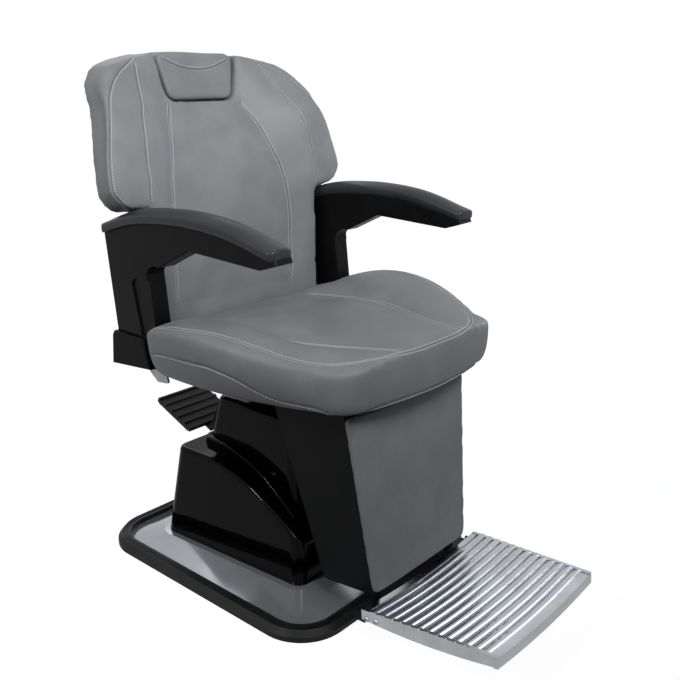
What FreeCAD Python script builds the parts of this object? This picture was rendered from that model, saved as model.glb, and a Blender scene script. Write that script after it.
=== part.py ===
import FreeCAD, Part
import math
import operator
import os

import Sketcher
from FreeCAD import Placement, Rotation, Vector

# Hydraulic barber chair, in millimetres. The origin is the lift axis on the floor, +Z is up, the chair
# faces -Y and +X is the side of the sitter's left hand.

SIZES = {
    # base
    "base_width": 620, "base_length": 685, "base_corner": 105,
    "rim_width": 30, "rim_height": 24, "rim_groove": 3, "rim_lip": 9, "rim_shoulder": 10,
    "plate_thickness": 10, "dish_sheet": 2, "dish_top": 30, "dish_margin": 14,
    # pump tube and lifting ram
    "tube_radius": 37, "tube_wall": 6, "tube_top": 345, "flange_radius": 78, "flange_thickness": 10,
    "flange_bolt_circle": 60, "flange_bolt_radius": 5, "tube_bush_length": 45, "running_gap": 0.05,
    "wiper_height": 6, "ram_radius": 24, "ram_foot": 60, "ram_shoulder": 388,
    "piston_length": 26, "seal_section": 4, "spigot_radius": 17, "swivel_bush_wall": 4,
    "thrust_radius": 30, "thrust_thickness": 3, "spigot_nut_radius": 24, "spigot_nut_height": 12,
    # two-piece pump cover
    "cover_wall": 3.5, "cover_rear": 222, "cover_front": 204, "cover_rear_half": 206,
    "cover_front_half": 178, "cover_corner": 26, "cover_side_draft": 18, "cover_rear_draft": 46,
    "arch_top": 256, "arch_front": 128, "arch_flat": 70, "step_half": 150, "step_rise": 17,
    "step_front": 180, "step_rear": 196, "cover_rounding": 10,
    "tower_half": 122, "tower_draft": 10, "tower_rear": 155, "tower_front": 140,
    "tower_rear_draft": 32, "tower_front_draft": 12, "tower_top": 374, "tower_corner": 24,
    "tower_rounding": 14, "tower_hole": 42, "fit_gap": 1, "arch_height_bow": 0.36,
    # pump head, plunger and foot lever
    "head_half": 55, "head_front": 60, "head_rear": 62, "head_height": 49,
    "ear_gap": 28, "ear_thickness": 12, "ear_radius": 13, "lever_pin_y": 85, "lever_pin_z": 405,
    "lever_pin_radius": 6, "side_gap": 1, "lever_depth": 16, "nose_reach": 30,
    "plunger_radius": 6, "plunger_length": 18, "plunger_roof": 2, "seat_gap": 0.3,
    "lever_bend_y": 150, "pedal_half": 75, "pedal_front": 283, "pedal_length": 121,
    "pedal_front_height": 226, "pedal_tilt": 22.3, "pedal_steel": 4, "pedal_rubber": 6,
    "pedal_rib": 4, "pedal_rib_width": 12, "pedal_rib_pitch": 26, "pedal_lip": 6,
    "spring_wire": 2.4, "spring_turns": 4,
    # seat frame
    "rail_inner": 166, "rail_thickness": 6, "rail_bottom": 440, "rail_depth": 48,
    "frame_plate_half": 80, "frame_plate_rear": 105, "nut_hole": 30,
    "frame_plate_thickness": 8, "cross_width": 30, "cross_front": 160, "cross_wall": 3,
    "board_thickness": 12, "board_half": 225, "board_front": 345, "board_rear": 92,
    "frame_bolt_x": 40, "frame_bolt_y": 42, "frame_bolt_radius": 5,
    # recline, leg rest and the bar that couples them
    "recline_y": 195, "recline_z": 475, "crank_radius": 50, "crank_angle": 22.5,
    "recline_pin_radius": 8, "pin_head": 3, "bush_wall": 3, "back_tube_radius": 14,
    "leg_pivot_y": -324, "leg_pivot_z": 460, "leg_boss": 10, "leg_tube_radius": 11, "leg_pin_radius": 5,
    "pivot_boss": 24, "pin_reach": 30, "link_x": -100, "link_thickness": 6, "link_radius": 9,
    "crank_pin_radius": 5, "crank_eye": 11, "link_play": 0.4,
    "lock_x": 100, "lock_radius": 14, "lock_front": -48, "lock_rear": 118, "lock_rod_radius": 6,
    "lock_rod_front": -5, "fork_width": 14, "fork_side_gap": 0.8, "fork_travel_gap": 4.8,
    "fork_wall": 5,
    # recline lever
    "shaft_y": 140, "shaft_z": 460, "shaft_radius": 5, "handle_x": -249, "handle_thickness": 5,
    "cam_radius": 9,
    # seat cushion
    "seat_bottom": 488.5, "seat_front": 425, "seat_half": 345, "seat_rear_half": 240, "seat_rear": 150,
    "seat_wide_rear": 64, "seat_bulge": 14, "seat_tuck": 26, "seat_front_half": 265,
    "seat_corner_y": 335, "seat_shoulder": 42, "seat_shoulder_y": 60, "dish_height": 579,
    "dish_half": 178, "bolster_crest": 626,
    "bolster_x": 275, "seam_height": 602, "lip_height": 594, "soft_gap": 0.3, "rail_relief": 4,
    "rear_step": 32, "rear_corner": 12,
    # back cushion, board and cover
    "back_bottom": 508, "back_low_half": 250, "back_face": 160, "back_thick": 82, "back_top": 1135,
    "wing_half": 346, "wing_side": 352, "wing_drop": 318, "wing_slope": 0.25, "wing_edge": 64,
    "wing_reach": 400,
    "back_board": 10, "back_board_top": 985, "back_cover_depth": 34,
    "back_cover_half": 204, "back_cover_wall": 3, "upright_x": 140, "upright_width": 30,
    "upright_thick": 6, "upright_top": 905,
    # headrest
    "head_low_half": 91, "head_top_half": 116, "head_drop": 102, "head_pad": 46, "head_gap": 4,
    "head_corner": 22,
    "head_lean": 11.2, "head_face": 256, "head_bar_width": 40, "head_bar_thick": 5,
    "head_bar_length": 280, "guide_wall": 3, "guide_length": 110, "guide_drop": 95,
    # arms
    "arm_inner": 262, "arm_outer": 310, "pad_outer": 320, "arm_rounding": 4, "arm_top": 822, "pad_lip": 2,
    "block_outer": 318, "block_inner": 252, "block_bottom": 484, "block_top": 560, "block_front": 96,
    "block_rear": 218, "stay_thickness": 5, "stay_front": 98, "stay_rear": 172, "stay_bolt_radius": 4,
    "post_recess": 4, "pad_corner": 12, "pad_thickness": 13,
    # leg rest
    "calf_top": 464, "calf_top_half": 192, "calf_bottom_half": 158, "calf_bottom": 88,
    "calf_top_y": 354.2, "calf_bottom_y": 401, "calf_pad": 18, "calf_crown": 4, "calf_board": 8,
    "calf_board_drop": 25, "panel_thickness": 8, "panel_inset": 5, "panel_top": 467,
    "panel_rear_top": 138, "panel_rear_bottom": 249, "panel_bottom": 63,
    "hanger_x": 130, "hanger_width": 24, "hanger_thick": 6,
    "foot_bar_half": 190, "foot_bar_depth": 34, "foot_bar_height": 20, "foot_bar_low": 38,
    "foot_bar_y": -381,
    # foot plate
    "tread_rear_half": 203, "tread_front_half": 184, "tread_rear_y": -396, "tread_length": 299,
    "tread_rear_z": 78, "tread_tilt": 4.8, "tread_skin": 6, "tread_sag": 12, "tread_depth": 22,
    "tread_belly": 8, "rib_count": 13, "rib_pitch": 20.5, "rib_depth": 4.5, "rib_start": 14,
    "tread_wall": 8, "tread_front_wall": 9, "screw_radius": 6, "screw_head": 3.5,
    "screw_first": 12, "screw_pitch": 22, "tongue_thick": 6, "tongue_length": 46, "tongue_height": 11,
    "tongue_drop": 2.5,
}

doc = FreeCAD.newDocument("barber_chair")
sheet = doc.addObject("Spreadsheet::Sheet", "Sizes")
for row, (alias, value) in enumerate(SIZES.items(), start=1):
    sheet.set("A%d" % row, alias)
    sheet.set("B%d" % row, str(value))
    sheet.setAlias("B%d" % row, alias)
doc.recompute()


class Size(float):
    """A number from the sheet that keeps the formula it came from."""

    def __new__(cls, number, formula):
        size = super().__new__(cls, number)
        size.formula = formula
        return size

    def __neg__(self):
        return Size(-float(self), "(0 - %s)" % self.formula)


def formula_of(value):
    return value.formula if isinstance(value, Size) else "(%.6f)" % value


def operation(symbol, work):
    def forward(first, second):
        formula = "(%s %s %s)" % (formula_of(first), symbol, formula_of(second))
        return Size(work(float(first), float(second)), formula)

    return forward, lambda first, second: forward(second, first)


for name, symbol in (("add", "+"), ("sub", "-"), ("mul", "*"), ("truediv", "/")):
    forward, swapped = operation(symbol, getattr(operator, name))
    setattr(Size, "__%s__" % name, forward)
    setattr(Size, "__r%s__" % name, swapped)


class Sheet:
    """Reads a size of the sheet by its name."""

    def __getattr__(self, alias):
        return Size(sheet.get(alias), "Sizes." + alias)


s = Sheet()
NODES = []
SIDES = (("left", 1), ("right", -1))


# Helpers that make bound features


def bind(item, prop, value):
    item.setExpression(prop, formula_of(value))


def node(item, name):
    """Gives a finished sub-part its name and keeps it for the export."""
    item.Label = name
    NODES.append(item)
    return item


def place(item, at):
    for axis, value in zip("xyz", at):
        bind(item, "Placement.Base." + axis, value)
    return item


def box(x, y, z):
    """A block between (low, high) pairs."""
    item = doc.addObject("Part::Box", "block")
    for prop, (low, high) in zip(("Length", "Width", "Height"), (x, y, z)):
        bind(item, prop, high - low)
    return place(item, (x[0], y[0], z[0]))


TURNS = {"x": Rotation(Vector(0, 1, 0), 90), "y": Rotation(Vector(1, 0, 0), -90), "z": Rotation()}


def rod(axis, start, length, radius):
    """A cylinder that runs from its start along an axis."""
    item = doc.addObject("Part::Cylinder", "rod")
    item.Placement = Placement(Vector(), TURNS[axis])
    bind(item, "Radius", radius)
    bind(item, "Height", length)
    return place(item, start)


def rod_x(low, high, y, z, radius):
    return rod("x", (low, y, z), high - low, radius)


def rod_z(x, y, low, high, radius):
    return rod("z", (x, y, low), high - low, radius)


def fuse(*items):
    item = doc.addObject("Part::MultiFuse", "joined")
    item.Shapes = list(items)
    return item


def cut(base, *tools):
    for tool in tools:
        item = doc.addObject("Part::Cut", "cut")
        item.Base = base
        item.Tool = tool
        base = item
    return base


def part_feature(name, shape):
    """A sub-part whose form is lofted or swept from the sizes."""
    item = doc.addObject("Part::Feature", name)
    item.Shape = shape
    return node(item, name)


def origin_plane(body, role):
    return next(f for f in body.Origin.OriginFeatures if f.Role == role)


def draw(body, role, points):
    """A sketch of straight lines whose corners are bound to the sheet."""
    sketch = body.newObject("Sketcher::SketchObject", "outline")
    sketch.AttachmentSupport = [(origin_plane(body, role), "")]
    sketch.MapMode = "FlatFace"
    corners = [Vector(u, v, 0) for u, v in points]
    count = len(corners)
    for i, corner in enumerate(corners):
        sketch.addGeometry(Part.LineSegment(corner, corners[(i + 1) % count]), False)
    for i in range(count):
        sketch.addConstraint(Sketcher.Constraint("Coincident", i, 2, (i + 1) % count, 1))
    for i, pair in enumerate(points):
        for kind, value in zip(("DistanceX", "DistanceY"), pair):
            number = sketch.addConstraint(Sketcher.Constraint(kind, -1, 1, i, 1, float(value)))
            bind(sketch, "Constraints[%d]" % number, value)
    return sketch


def round_edges(body, base, radius, wanted):
    """Fillets the edges of a feature that the test picks."""
    doc.recompute()
    names = ["Edge%d" % (i + 1) for i, edge in enumerate(base.Shape.Edges) if wanted(edge)]
    feature = body.newObject("PartDesign::Fillet", "rounding")
    feature.Base = (base, names)
    bind(feature, "Radius", radius)
    return feature


NORMALS = {"XY_Plane": Vector(0, 0, 1), "XZ_Plane": Vector(0, -1, 0), "YZ_Plane": Vector(1, 0, 0)}


def runs_along(direction):
    def test(edge):
        if edge.Curve.TypeId != "Part::GeomLine":
            return False
        return abs(abs(edge.tangentAt(edge.FirstParameter).dot(direction)) - 1) < 1e-6
    return test


def slab(role, points, span, corner=None):
    """An outline padded from span[0] to span[1] square to its plane, with its corners rounded."""
    body = doc.addObject("PartDesign::Body", "slab")
    sketch = draw(body, role, points)
    pad = body.newObject("PartDesign::Pad", "pad")
    pad.Profile = sketch
    bind(pad, "Length", span[1] - span[0])
    if corner is not None:
        round_edges(body, pad, corner, runs_along(NORMALS[role]))
    zero = {"XY_Plane": (0, 0, span[0]), "YZ_Plane": (span[0], 0, 0), "XZ_Plane": (0, -span[0], 0)}
    return place(body, zero[role])


def turned(points, at=(0, 0, 0), axis="z"):
    """A half section in (radius, height) turned about its height axis, which then lies along axis."""
    body = doc.addObject("PartDesign::Body", "turning")
    sketch = draw(body, "XZ_Plane", points)
    spin = body.newObject("PartDesign::Revolution", "turn")
    spin.Profile = sketch
    spin.ReferenceAxis = (sketch, ["V_Axis"])
    spin.Angle = 360.0
    body.Placement = Placement(Vector(), TURNS[axis])
    return place(body, at)


def ring(inner, outer, low, high):
    """The half section of a plain bush or washer."""
    return [(inner, low), (outer, low), (outer, high), (inner, high)]


def rectangle(u, v):
    return [(u[0], v[0]), (u[1], v[0]), (u[1], v[1]), (u[0], v[1])]


# Helpers that make free forms


def three_point(first, middle, last):
    return Part.Arc(Vector(*first), Vector(*middle), Vector(*last)).toShape()


def straight(first, last):
    return Part.makeLine(Vector(*first), Vector(*last))


def rounded_outline(points, radius, z):
    """A closed wire through the corners at a height, each corner an arc."""
    corners = [Vector(x, y, z) for x, y in points]
    count = len(corners)
    starts, ends, middles = [], [], []
    for i, corner in enumerate(corners):
        before = (corners[i - 1] - corner).normalize()
        after = (corners[(i + 1) % count] - corner).normalize()
        half = math.acos(before.dot(after)) / 2
        reach = radius / math.tan(half)
        centre = corner + (before + after).normalize() * (radius / math.sin(half))
        starts.append(corner + before * reach)
        ends.append(corner + after * reach)
        middles.append(centre + (corner - centre).normalize() * radius)
    edges = []
    for i in range(count):
        edges.append(Part.Arc(starts[i], middles[i], ends[i]).toShape())
        edges.append(Part.makeLine(ends[i], starts[(i + 1) % count]))
    return Part.Wire(edges)


def quad(rear_half, front_half, front, rear):
    """Four corners of a level outline that narrows to the front."""
    return [(-rear_half, rear), (-front_half, -front), (front_half, -front), (rear_half, rear)]


def prism(wire, direction):
    return Part.Face(wire).extrude(Vector(*direction))


def side_form(x_low, x_high, corners, bends=None):
    """Extrudes a (y, z) outline across X; bends maps a side to the point its arc passes through."""
    bends = bends or {}
    edges = []
    count = len(corners)
    for i in range(count):
        first, last = (x_low,) + corners[i], (x_low,) + corners[(i + 1) % count]
        if i in bends:
            edges.append(three_point(first, (x_low,) + bends[i], last))
        else:
            edges.append(straight(first, last))
    return prism(Part.Wire(edges), (x_high - x_low, 0, 0))


def bar(start, end, start_radius, end_radius, x_low, x_high):
    """A flat bar with two round ends, lying in a plane square to X; start and end are (y, z)."""
    run = Vector(0, end[0] - start[0], end[1] - start[1])
    length = run.Length
    turn = math.asin((start_radius - end_radius) / length)
    forward = run.normalize()
    across = Vector(0, -forward.z, forward.y)

    def rim(centre, radius, angle):
        direction = forward * math.sin(angle) + across * math.cos(angle)
        return Vector(x_low, centre[0], centre[1]) + direction * radius

    left = [rim(start, start_radius, turn), rim(end, end_radius, turn)]
    right = [rim(end, end_radius, math.pi - turn), rim(start, start_radius, math.pi - turn)]
    far = Vector(x_low, end[0], end[1]) + forward * end_radius
    near = Vector(x_low, start[0], start[1]) - forward * start_radius
    wire = Part.Wire([Part.makeLine(left[0], left[1]), Part.Arc(left[1], far, right[0]).toShape(),
                      Part.makeLine(right[0], right[1]), Part.Arc(right[1], near, left[0]).toShape()])
    return prism(wire, (x_high - x_low, 0, 0))


def tangent_arc(first, heading, reach, last):
    """An arc that leaves its first point along a heading, whose tangents meet after a reach."""
    corner = first + heading * reach
    middle = (first + last) / 2
    half_chord = (last - first).Length / 2
    bulge = half_chord * math.tan(math.acos(half_chord / reach) / 2)
    return Part.Arc(first, middle + (corner - middle).normalize() * bulge, last).toShape()


def biarc(first, heading, last, heading_last):
    """Two arcs between two points that take up the heading at each."""
    chord = last - first
    along = chord.dot(heading + heading_last)
    spread = 2 * (1 - heading.dot(heading_last))
    reach = (math.sqrt(along * along + spread * chord.dot(chord)) - along) / spread
    joint = (first + last + (heading - heading_last) * reach) / 2
    return [tangent_arc(first, heading, reach, joint),
            tangent_arc(joint, (joint - first - heading * reach) / reach, reach, last)]


def moved(shape, placement):
    """The shape carried from its own frame to where it stands."""
    result = shape.copy()
    result.Placement = placement.multiply(shape.Placement)
    return result


def drill_x(x_low, x_high, y, z, radius):
    return Part.makeCylinder(radius, x_high - x_low, Vector(x_low, y, z), Vector(1, 0, 0))


def mirrored(shape, side):
    return shape if side > 0 else shape.mirror(Vector(), Vector(1, 0, 0))


# Base: rubber rim, steel plate and polished dish

PLATE_TOP = s.plate_thickness
DISH_EDGE = PLATE_TOP + s.dish_sheet


def base_outline(inset, z):
    half_x, half_y = s.base_width / 2 - inset, s.base_length / 2 - inset
    return rounded_outline(quad(half_x, half_x, half_y, half_y), s.base_corner - inset, z)


def base_slab(inset, low, high):
    return prism(base_outline(inset, low), (0, 0, high - low))


def bolt_places():
    reach = s.flange_bolt_circle / math.sqrt(2)
    return [(x, y) for x in (-reach, reach) for y in (-reach, reach)]


def rim_profile_ring():
    """The rubber rim: a round-shouldered section with two grooves, holding the plate in a shelf."""
    shelf = s.rim_width - s.rim_lip
    wall_top = s.rim_height / 2
    crown = [base_outline(0, wall_top), base_outline(s.rim_shoulder, s.rim_height)]
    rim = base_slab(0, 0, wall_top).fuse(Part.makeLoft(crown, True, True))
    rim = rim.cut(base_slab(s.rim_width, 0, s.rim_height)).cut(base_slab(shelf, 0, DISH_EDGE))
    for inset in (s.rim_shoulder + s.rim_groove, s.rim_shoulder + 3 * s.rim_groove):
        channel = base_slab(inset, s.rim_height - s.rim_groove / 2, s.rim_height)
        rim = rim.cut(channel.cut(base_slab(inset + s.rim_groove, 0, s.rim_height)))
    return rim.removeSplitter()


def dish_form(drop):
    """The dish's outside, or its hollow when it is dropped by the sheet."""
    shelf = s.rim_width - s.rim_lip
    inside = base_outline(s.rim_width + 4, DISH_EDGE - drop)
    raised = quad(s.cover_rear_half + s.dish_margin, s.cover_front_half + s.dish_margin,
                  s.cover_front + s.dish_margin, s.cover_rear + s.dish_margin)
    top = rounded_outline(raised, s.cover_corner + s.dish_margin, s.dish_top - drop)
    rise = Part.makeLoft([inside, top], True, True)
    if drop:
        return rise
    return base_slab(shelf, PLATE_TOP, DISH_EDGE).fuse(rise)


def make_base():
    shelf = s.rim_width - s.rim_lip
    steel = base_slab(shelf, 0, PLATE_TOP)
    for x, y in bolt_places():
        steel = steel.cut(Part.makeCylinder(s.flange_bolt_radius, PLATE_TOP, Vector(x, y, 0)))
    part_feature("base_plate", steel)
    part_feature("base_rim", rim_profile_ring())
    hole = Part.makeCylinder(s.flange_radius + s.fit_gap, s.dish_top, Vector(0, 0, PLATE_TOP))
    part_feature("base_dish", dish_form(0).cut(dish_form(s.dish_sheet)).cut(hole))


def hex_bolt(x, y, seat, radius, length, up=1):
    """A hexagon head above its seat, with a plain shank below; up of -1 turns it over."""
    across, height = 1.9 * radius, 1.3 * radius
    corners = [Vector(x + across * math.cos(math.radians(60 * i)),
                      y + across * math.sin(math.radians(60 * i)), seat) for i in range(7)]
    head = Part.Face(Part.makePolygon(corners)).extrude(Vector(0, 0, up * height))
    return head.fuse(Part.makeCylinder(radius, length, Vector(x, y, seat), Vector(0, 0, -up)))


# Pump: tube, bush, ram and piston


def make_pump():
    bore = s.tube_radius - s.tube_wall
    flange_top = PLATE_TOP + s.flange_thickness
    blank = turned([(bore, PLATE_TOP), (s.flange_radius, PLATE_TOP), (s.flange_radius, flange_top),
                    (s.tube_radius, flange_top), (s.tube_radius, s.tube_top), (bore, s.tube_top)])
    holes = [rod_z(x, y, PLATE_TOP, flange_top, s.flange_bolt_radius) for x, y in bolt_places()]
    node(cut(blank, *holes), "pump_tube")
    length = s.flange_thickness + s.plate_thickness
    bolts = [hex_bolt(x, y, flange_top, s.flange_bolt_radius, length) for x, y in bolt_places()]
    part_feature("tube_bolts", Part.makeCompound(bolts))
    sliding = s.ram_radius + s.running_gap
    node(turned(ring(sliding, bore, s.tube_top - s.tube_bush_length, s.tube_top)), "guide_bush")
    node(turned([(sliding, s.tube_top), (s.tube_radius, s.tube_top),
                 (s.tube_radius - s.wiper_height, s.tube_top + s.wiper_height),
                 (sliding, s.tube_top + s.wiper_height)]), "ram_wiper")
    node(turned([(0, s.ram_foot), (s.ram_radius, s.ram_foot), (s.ram_radius, s.ram_shoulder),
                 (s.spigot_radius, s.ram_shoulder), (s.spigot_radius, SPIGOT_TOP), (0, SPIGOT_TOP)]),
         "lift_ram")
    piston = bore - s.running_gap
    groove = bore - s.seal_section
    seal_low, seal_high = s.ram_foot - 2 * s.seal_section, s.ram_foot - s.seal_section
    node(turned([(0, s.ram_foot - s.piston_length), (piston, s.ram_foot - s.piston_length),
                 (piston, seal_low), (groove, seal_low), (groove, seal_high), (piston, seal_high),
                 (piston, s.ram_foot), (0, s.ram_foot)]), "ram_piston")
    node(turned(ring(groove, piston, seal_low, seal_high)), "piston_seal")
    node(turned(ring(s.spigot_radius + s.running_gap, s.thrust_radius, s.ram_shoulder, HEAD_BOTTOM)),
         "thrust_washer")
    nut_low = HEAD_TOP + s.seat_gap
    node(turned(ring(s.spigot_radius, s.spigot_nut_radius, nut_low, nut_low + s.spigot_nut_height)),
         "spigot_nut")


HEAD_BOTTOM = s.ram_shoulder + s.thrust_thickness
HEAD_TOP = HEAD_BOTTOM + s.head_height
SPIGOT_TOP = HEAD_TOP + s.seat_gap + s.spigot_nut_height


# Pump cover: a moulded lower shell with an arched top, and a tapered tower inside it


def cover_form(inset, rear_half, front_half, front, rear, rise):
    """A tapered block cut to the arched side outline."""
    top = s.arch_top + rise - inset
    end = s.arch_front + rise - inset
    beyond = 40
    floor = s.dish_top if inset == 0 else s.dish_top - 1
    corners = [(rear + beyond, floor), (rear + beyond, top), (s.arch_flat, top),
               (-front, end), (-front - beyond, end - beyond), (-front - beyond, floor)]
    bow = ((s.arch_flat - front) / 2 - 20, top - (top - end) * s.arch_height_bow)
    arch = side_form(-rear_half - beyond, rear_half + beyond, corners, {2: bow})
    low = quad(rear_half - inset, front_half - inset, front - inset, rear - inset)
    high = quad(rear_half - s.cover_side_draft - inset, front_half - s.cover_side_draft / 3 - inset,
                front - inset - s.cover_side_draft / 2, rear - inset - s.cover_rear_draft)
    height = s.arch_top + s.step_rise + 20
    levels = [rounded_outline(low, s.cover_corner - inset, floor),
              rounded_outline(high, s.cover_corner - inset, height)]
    return arch.common(Part.makeLoft(levels, True, True))


def top_edges(shape):
    """The edges round the top of a cover, where the arched face meets its sides."""
    picked = []
    for edge in shape.Edges:
        middle = edge.valueAt((edge.FirstParameter + edge.LastParameter) / 2)
        faces = shape.ancestorsOfType(edge, Part.Face)
        normals = [face.normalAt(*face.Surface.parameter(middle)) for face in faces]
        rising = [n for n in normals if abs(n.x) < 1e-3 and n.z > 0.3]
        if len(rising) == 1 and middle.z > s.dish_top + 60:
            picked.append(edge)
    return picked


def tower_form(inset, extra=0):
    low = quad(s.tower_half - inset, s.tower_half - inset, s.tower_front - inset, s.tower_rear - inset)
    top_half = s.tower_half - s.tower_draft - inset
    high = quad(top_half, top_half, s.tower_front - s.tower_front_draft - inset,
                s.tower_rear - s.tower_rear_draft - inset)
    corner = s.tower_corner - inset
    floor = s.dish_top if inset <= 0 else s.dish_top - 1
    levels = [rounded_outline(low, corner, floor), rounded_outline(low, corner, s.arch_top - 20),
              rounded_outline(high, corner, s.tower_top - max(inset, 0) + extra)]
    upright, taper = Part.makeLoft(levels[:2], True, True), Part.makeLoft(levels[1:], True, True)
    return upright.fuse(taper).removeSplitter()


def make_covers():
    outer_sizes = (s.cover_rear_half, s.cover_front_half, s.cover_front, s.cover_rear, 0)
    inner_sizes = (s.step_half, s.step_half, s.step_front, s.step_rear, s.step_rise)
    outer = cover_form(0, *outer_sizes)
    outer = outer.makeFillet(s.cover_rounding, top_edges(outer))
    inner = cover_form(0, *inner_sizes)
    inner = inner.makeFillet(s.cover_rounding / 2, top_edges(inner))
    hollow = cover_form(s.cover_wall, *outer_sizes).fuse(cover_form(s.cover_wall, *inner_sizes))
    opening = tower_form(-s.fit_gap, 40)
    part_feature("cover_lower", outer.fuse(inner).cut(hollow).cut(opening).removeSplitter())
    tower = tower_form(0)
    rims = [e for e in tower.Edges if e.BoundBox.ZMin > s.tower_top - 1e-6]
    tower = tower.makeFillet(s.tower_rounding, rims)
    hole = Part.makeCylinder(s.tower_hole, s.tower_top, Vector(0, 0, s.tube_top - s.tower_rounding))
    part_feature("cover_tower", tower.cut(tower_form(s.cover_wall)).cut(hole))


# Pump head, plunger and foot lever


def make_head():
    block = box((-s.head_half, s.head_half), (-s.head_front, s.head_rear), (HEAD_BOTTOM, HEAD_TOP))
    inner = s.ear_gap / 2
    ears = []
    for low in (inner, -inner - s.ear_thickness):
        high = low + s.ear_thickness
        ears.append(box((low, high), (s.head_rear - 1, s.lever_pin_y),
                        (s.lever_pin_z - s.ear_radius, s.lever_pin_z + s.ear_radius)))
        ears.append(rod_x(low, high, s.lever_pin_y, s.lever_pin_z, s.ear_radius))
    bore = rod_z(0, 0, HEAD_BOTTOM, HEAD_TOP, s.spigot_radius + s.swivel_bush_wall)
    pin = rod_x(-s.head_half, s.head_half, s.lever_pin_y, s.lever_pin_z, s.lever_pin_radius)
    slot = box((-inner, inner), (PLUNGER_Y - s.plunger_radius - 8, s.head_rear),
               (HEAD_BOTTOM, s.lever_pin_z + s.lever_depth / 2 + 6))
    barrel = rod_z(0, PLUNGER_Y, HEAD_BOTTOM, HEAD_TOP - s.plunger_roof, s.plunger_radius + s.running_gap)
    bolt_holes = [rod_z(x, y, HEAD_BOTTOM, HEAD_TOP, s.frame_bolt_radius) for x, y in head_bolts()]
    node(cut(fuse(block, *ears), bore, pin, slot, barrel, *bolt_holes), "pump_head")
    node(turned(ring(s.spigot_radius + s.running_gap, s.spigot_radius + s.swivel_bush_wall,
                     HEAD_BOTTOM, HEAD_TOP)), "swivel_bush")
    nose_top = s.lever_pin_z + s.lever_depth / 2
    node(rod_z(0, PLUNGER_Y, nose_top + s.seat_gap, nose_top + s.seat_gap + s.plunger_length,
               s.plunger_radius), "pump_plunger")


PLUNGER_Y = s.lever_pin_y - s.nose_reach
LEVER_PIN_END = s.ear_gap / 2 + s.ear_thickness + s.spring_wire * (s.spring_turns + 2)


def head_bolts():
    return [(x, y) for x in (-s.frame_bolt_x, s.frame_bolt_x) for y in (-s.frame_bolt_y, s.frame_bolt_y)]


def tilted(item):
    """Turns a piece drawn flat into the pedal's place."""
    item.Placement = Placement(Vector(), Rotation(Vector(1, 0, 0), float(s.pedal_tilt)))
    return place(item, (-s.pedal_half, s.pedal_front, s.pedal_front_height))


def make_lever():
    half = s.ear_gap / 2 - s.side_gap
    depth = s.lever_depth
    tilt = math.radians(s.pedal_tilt)
    heel, tongue = s.pedal_front - 10, s.pedal_length - 20

    def under_pedal(run, drop):
        return (s.pedal_front + run * math.cos(tilt) + drop * math.sin(tilt),
                s.pedal_front_height + run * math.sin(tilt) - drop * math.cos(tilt))

    top, low = s.lever_pin_z + depth / 2, s.lever_pin_z - depth / 2
    corners = [(PLUNGER_Y - 1, top), (s.lever_bend_y + depth / 2, top), (heel, s.pedal_front_height - 4),
               under_pedal(0, 0), under_pedal(tongue, 0), under_pedal(tongue, 6),
               (heel - 5, s.pedal_front_height - 16), (s.lever_bend_y - depth / 2, low),
               (PLUNGER_Y - 6, low), (PLUNGER_Y - 6, top - 3)]
    arm = side_form(-half, half, [(float(y), float(z)) for y, z in corners])
    hole = drill_x(-half, half, s.lever_pin_y, s.lever_pin_z, s.lever_pin_radius + s.running_gap)
    bends = [e for e in arm.Edges if runs_along(Vector(1, 0, 0))(e)
             and s.lever_pin_y < e.CenterOfMass.y < s.lever_bend_y + depth]
    arm = arm.makeFillet(5, bends)
    part_feature("pump_lever", arm.cut(hole))

    steel = slab("YZ_Plane", rectangle((0, s.pedal_length), (0, s.pedal_steel)), (0, 2 * s.pedal_half))
    node(tilted(steel), "pedal_plate")
    base, high = s.pedal_steel, s.pedal_steel + s.pedal_rubber
    outline = [(-s.pedal_lip, base - s.pedal_steel / 2), (0, base - s.pedal_steel / 2), (0, base),
               (s.pedal_length, base), (s.pedal_length, base - s.pedal_steel / 2),
               (s.pedal_length + s.pedal_lip, base - s.pedal_steel / 2),
               (s.pedal_length + s.pedal_lip, high + s.pedal_rib), (s.pedal_length, high + s.pedal_rib),
               (s.pedal_length, high)]
    ribs = []
    first = (s.pedal_length - 3 * s.pedal_rib_pitch - s.pedal_rib_width) / 2
    for i in (3, 2, 1, 0):
        start = first + i * s.pedal_rib_pitch
        ribs += [(start + s.pedal_rib_width, high), (start + s.pedal_rib_width * 0.8, high + s.pedal_rib),
                 (start + s.pedal_rib_width * 0.2, high + s.pedal_rib), (start, high)]
    outline += ribs + [(0, high), (0, high + s.pedal_rib), (-s.pedal_lip, high + s.pedal_rib)]
    node(tilted(slab("YZ_Plane", outline, (0, 2 * s.pedal_half))), "pedal_rubber")
    node(rod_x(-s.ear_gap / 2 - s.ear_thickness - 2, LEVER_PIN_END, s.lever_pin_y, s.lever_pin_z,
               s.lever_pin_radius), "lever_pin")
    make_spring()


def make_spring():
    """The torsion spring that lifts the pedal, wound round the end of the lever's pin."""
    wire = s.spring_wire
    radius = s.lever_pin_radius + wire / 2 + s.seat_gap
    pitch = wire * 1.25
    start = s.ear_gap / 2 + s.ear_thickness + wire / 2 + s.seat_gap

    def on_coil(half_turns):
        angle = math.pi * half_turns
        return Vector(start + pitch * half_turns / 2, s.lever_pin_y + radius * math.cos(angle),
                      s.lever_pin_z + radius * math.sin(angle))

    def heading(half_turns):
        angle = math.pi * half_turns
        across, up = -radius * math.sin(angle), radius * math.cos(angle)
        return Vector(pitch / (2 * math.pi), across, up).normalize()

    edges = []
    for i in range(2 * int(s.spring_turns)):
        edges += biarc(on_coil(i), heading(i), on_coil(i + 1), heading(i + 1))
    section = Part.Wire(Part.makeCircle(wire / 2, on_coil(0), heading(0)))
    part_feature("lever_spring", Part.Wire(edges).makePipe(Part.Face(section)))


# Seat frame with its rails, cross tubes and centre plate

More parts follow.
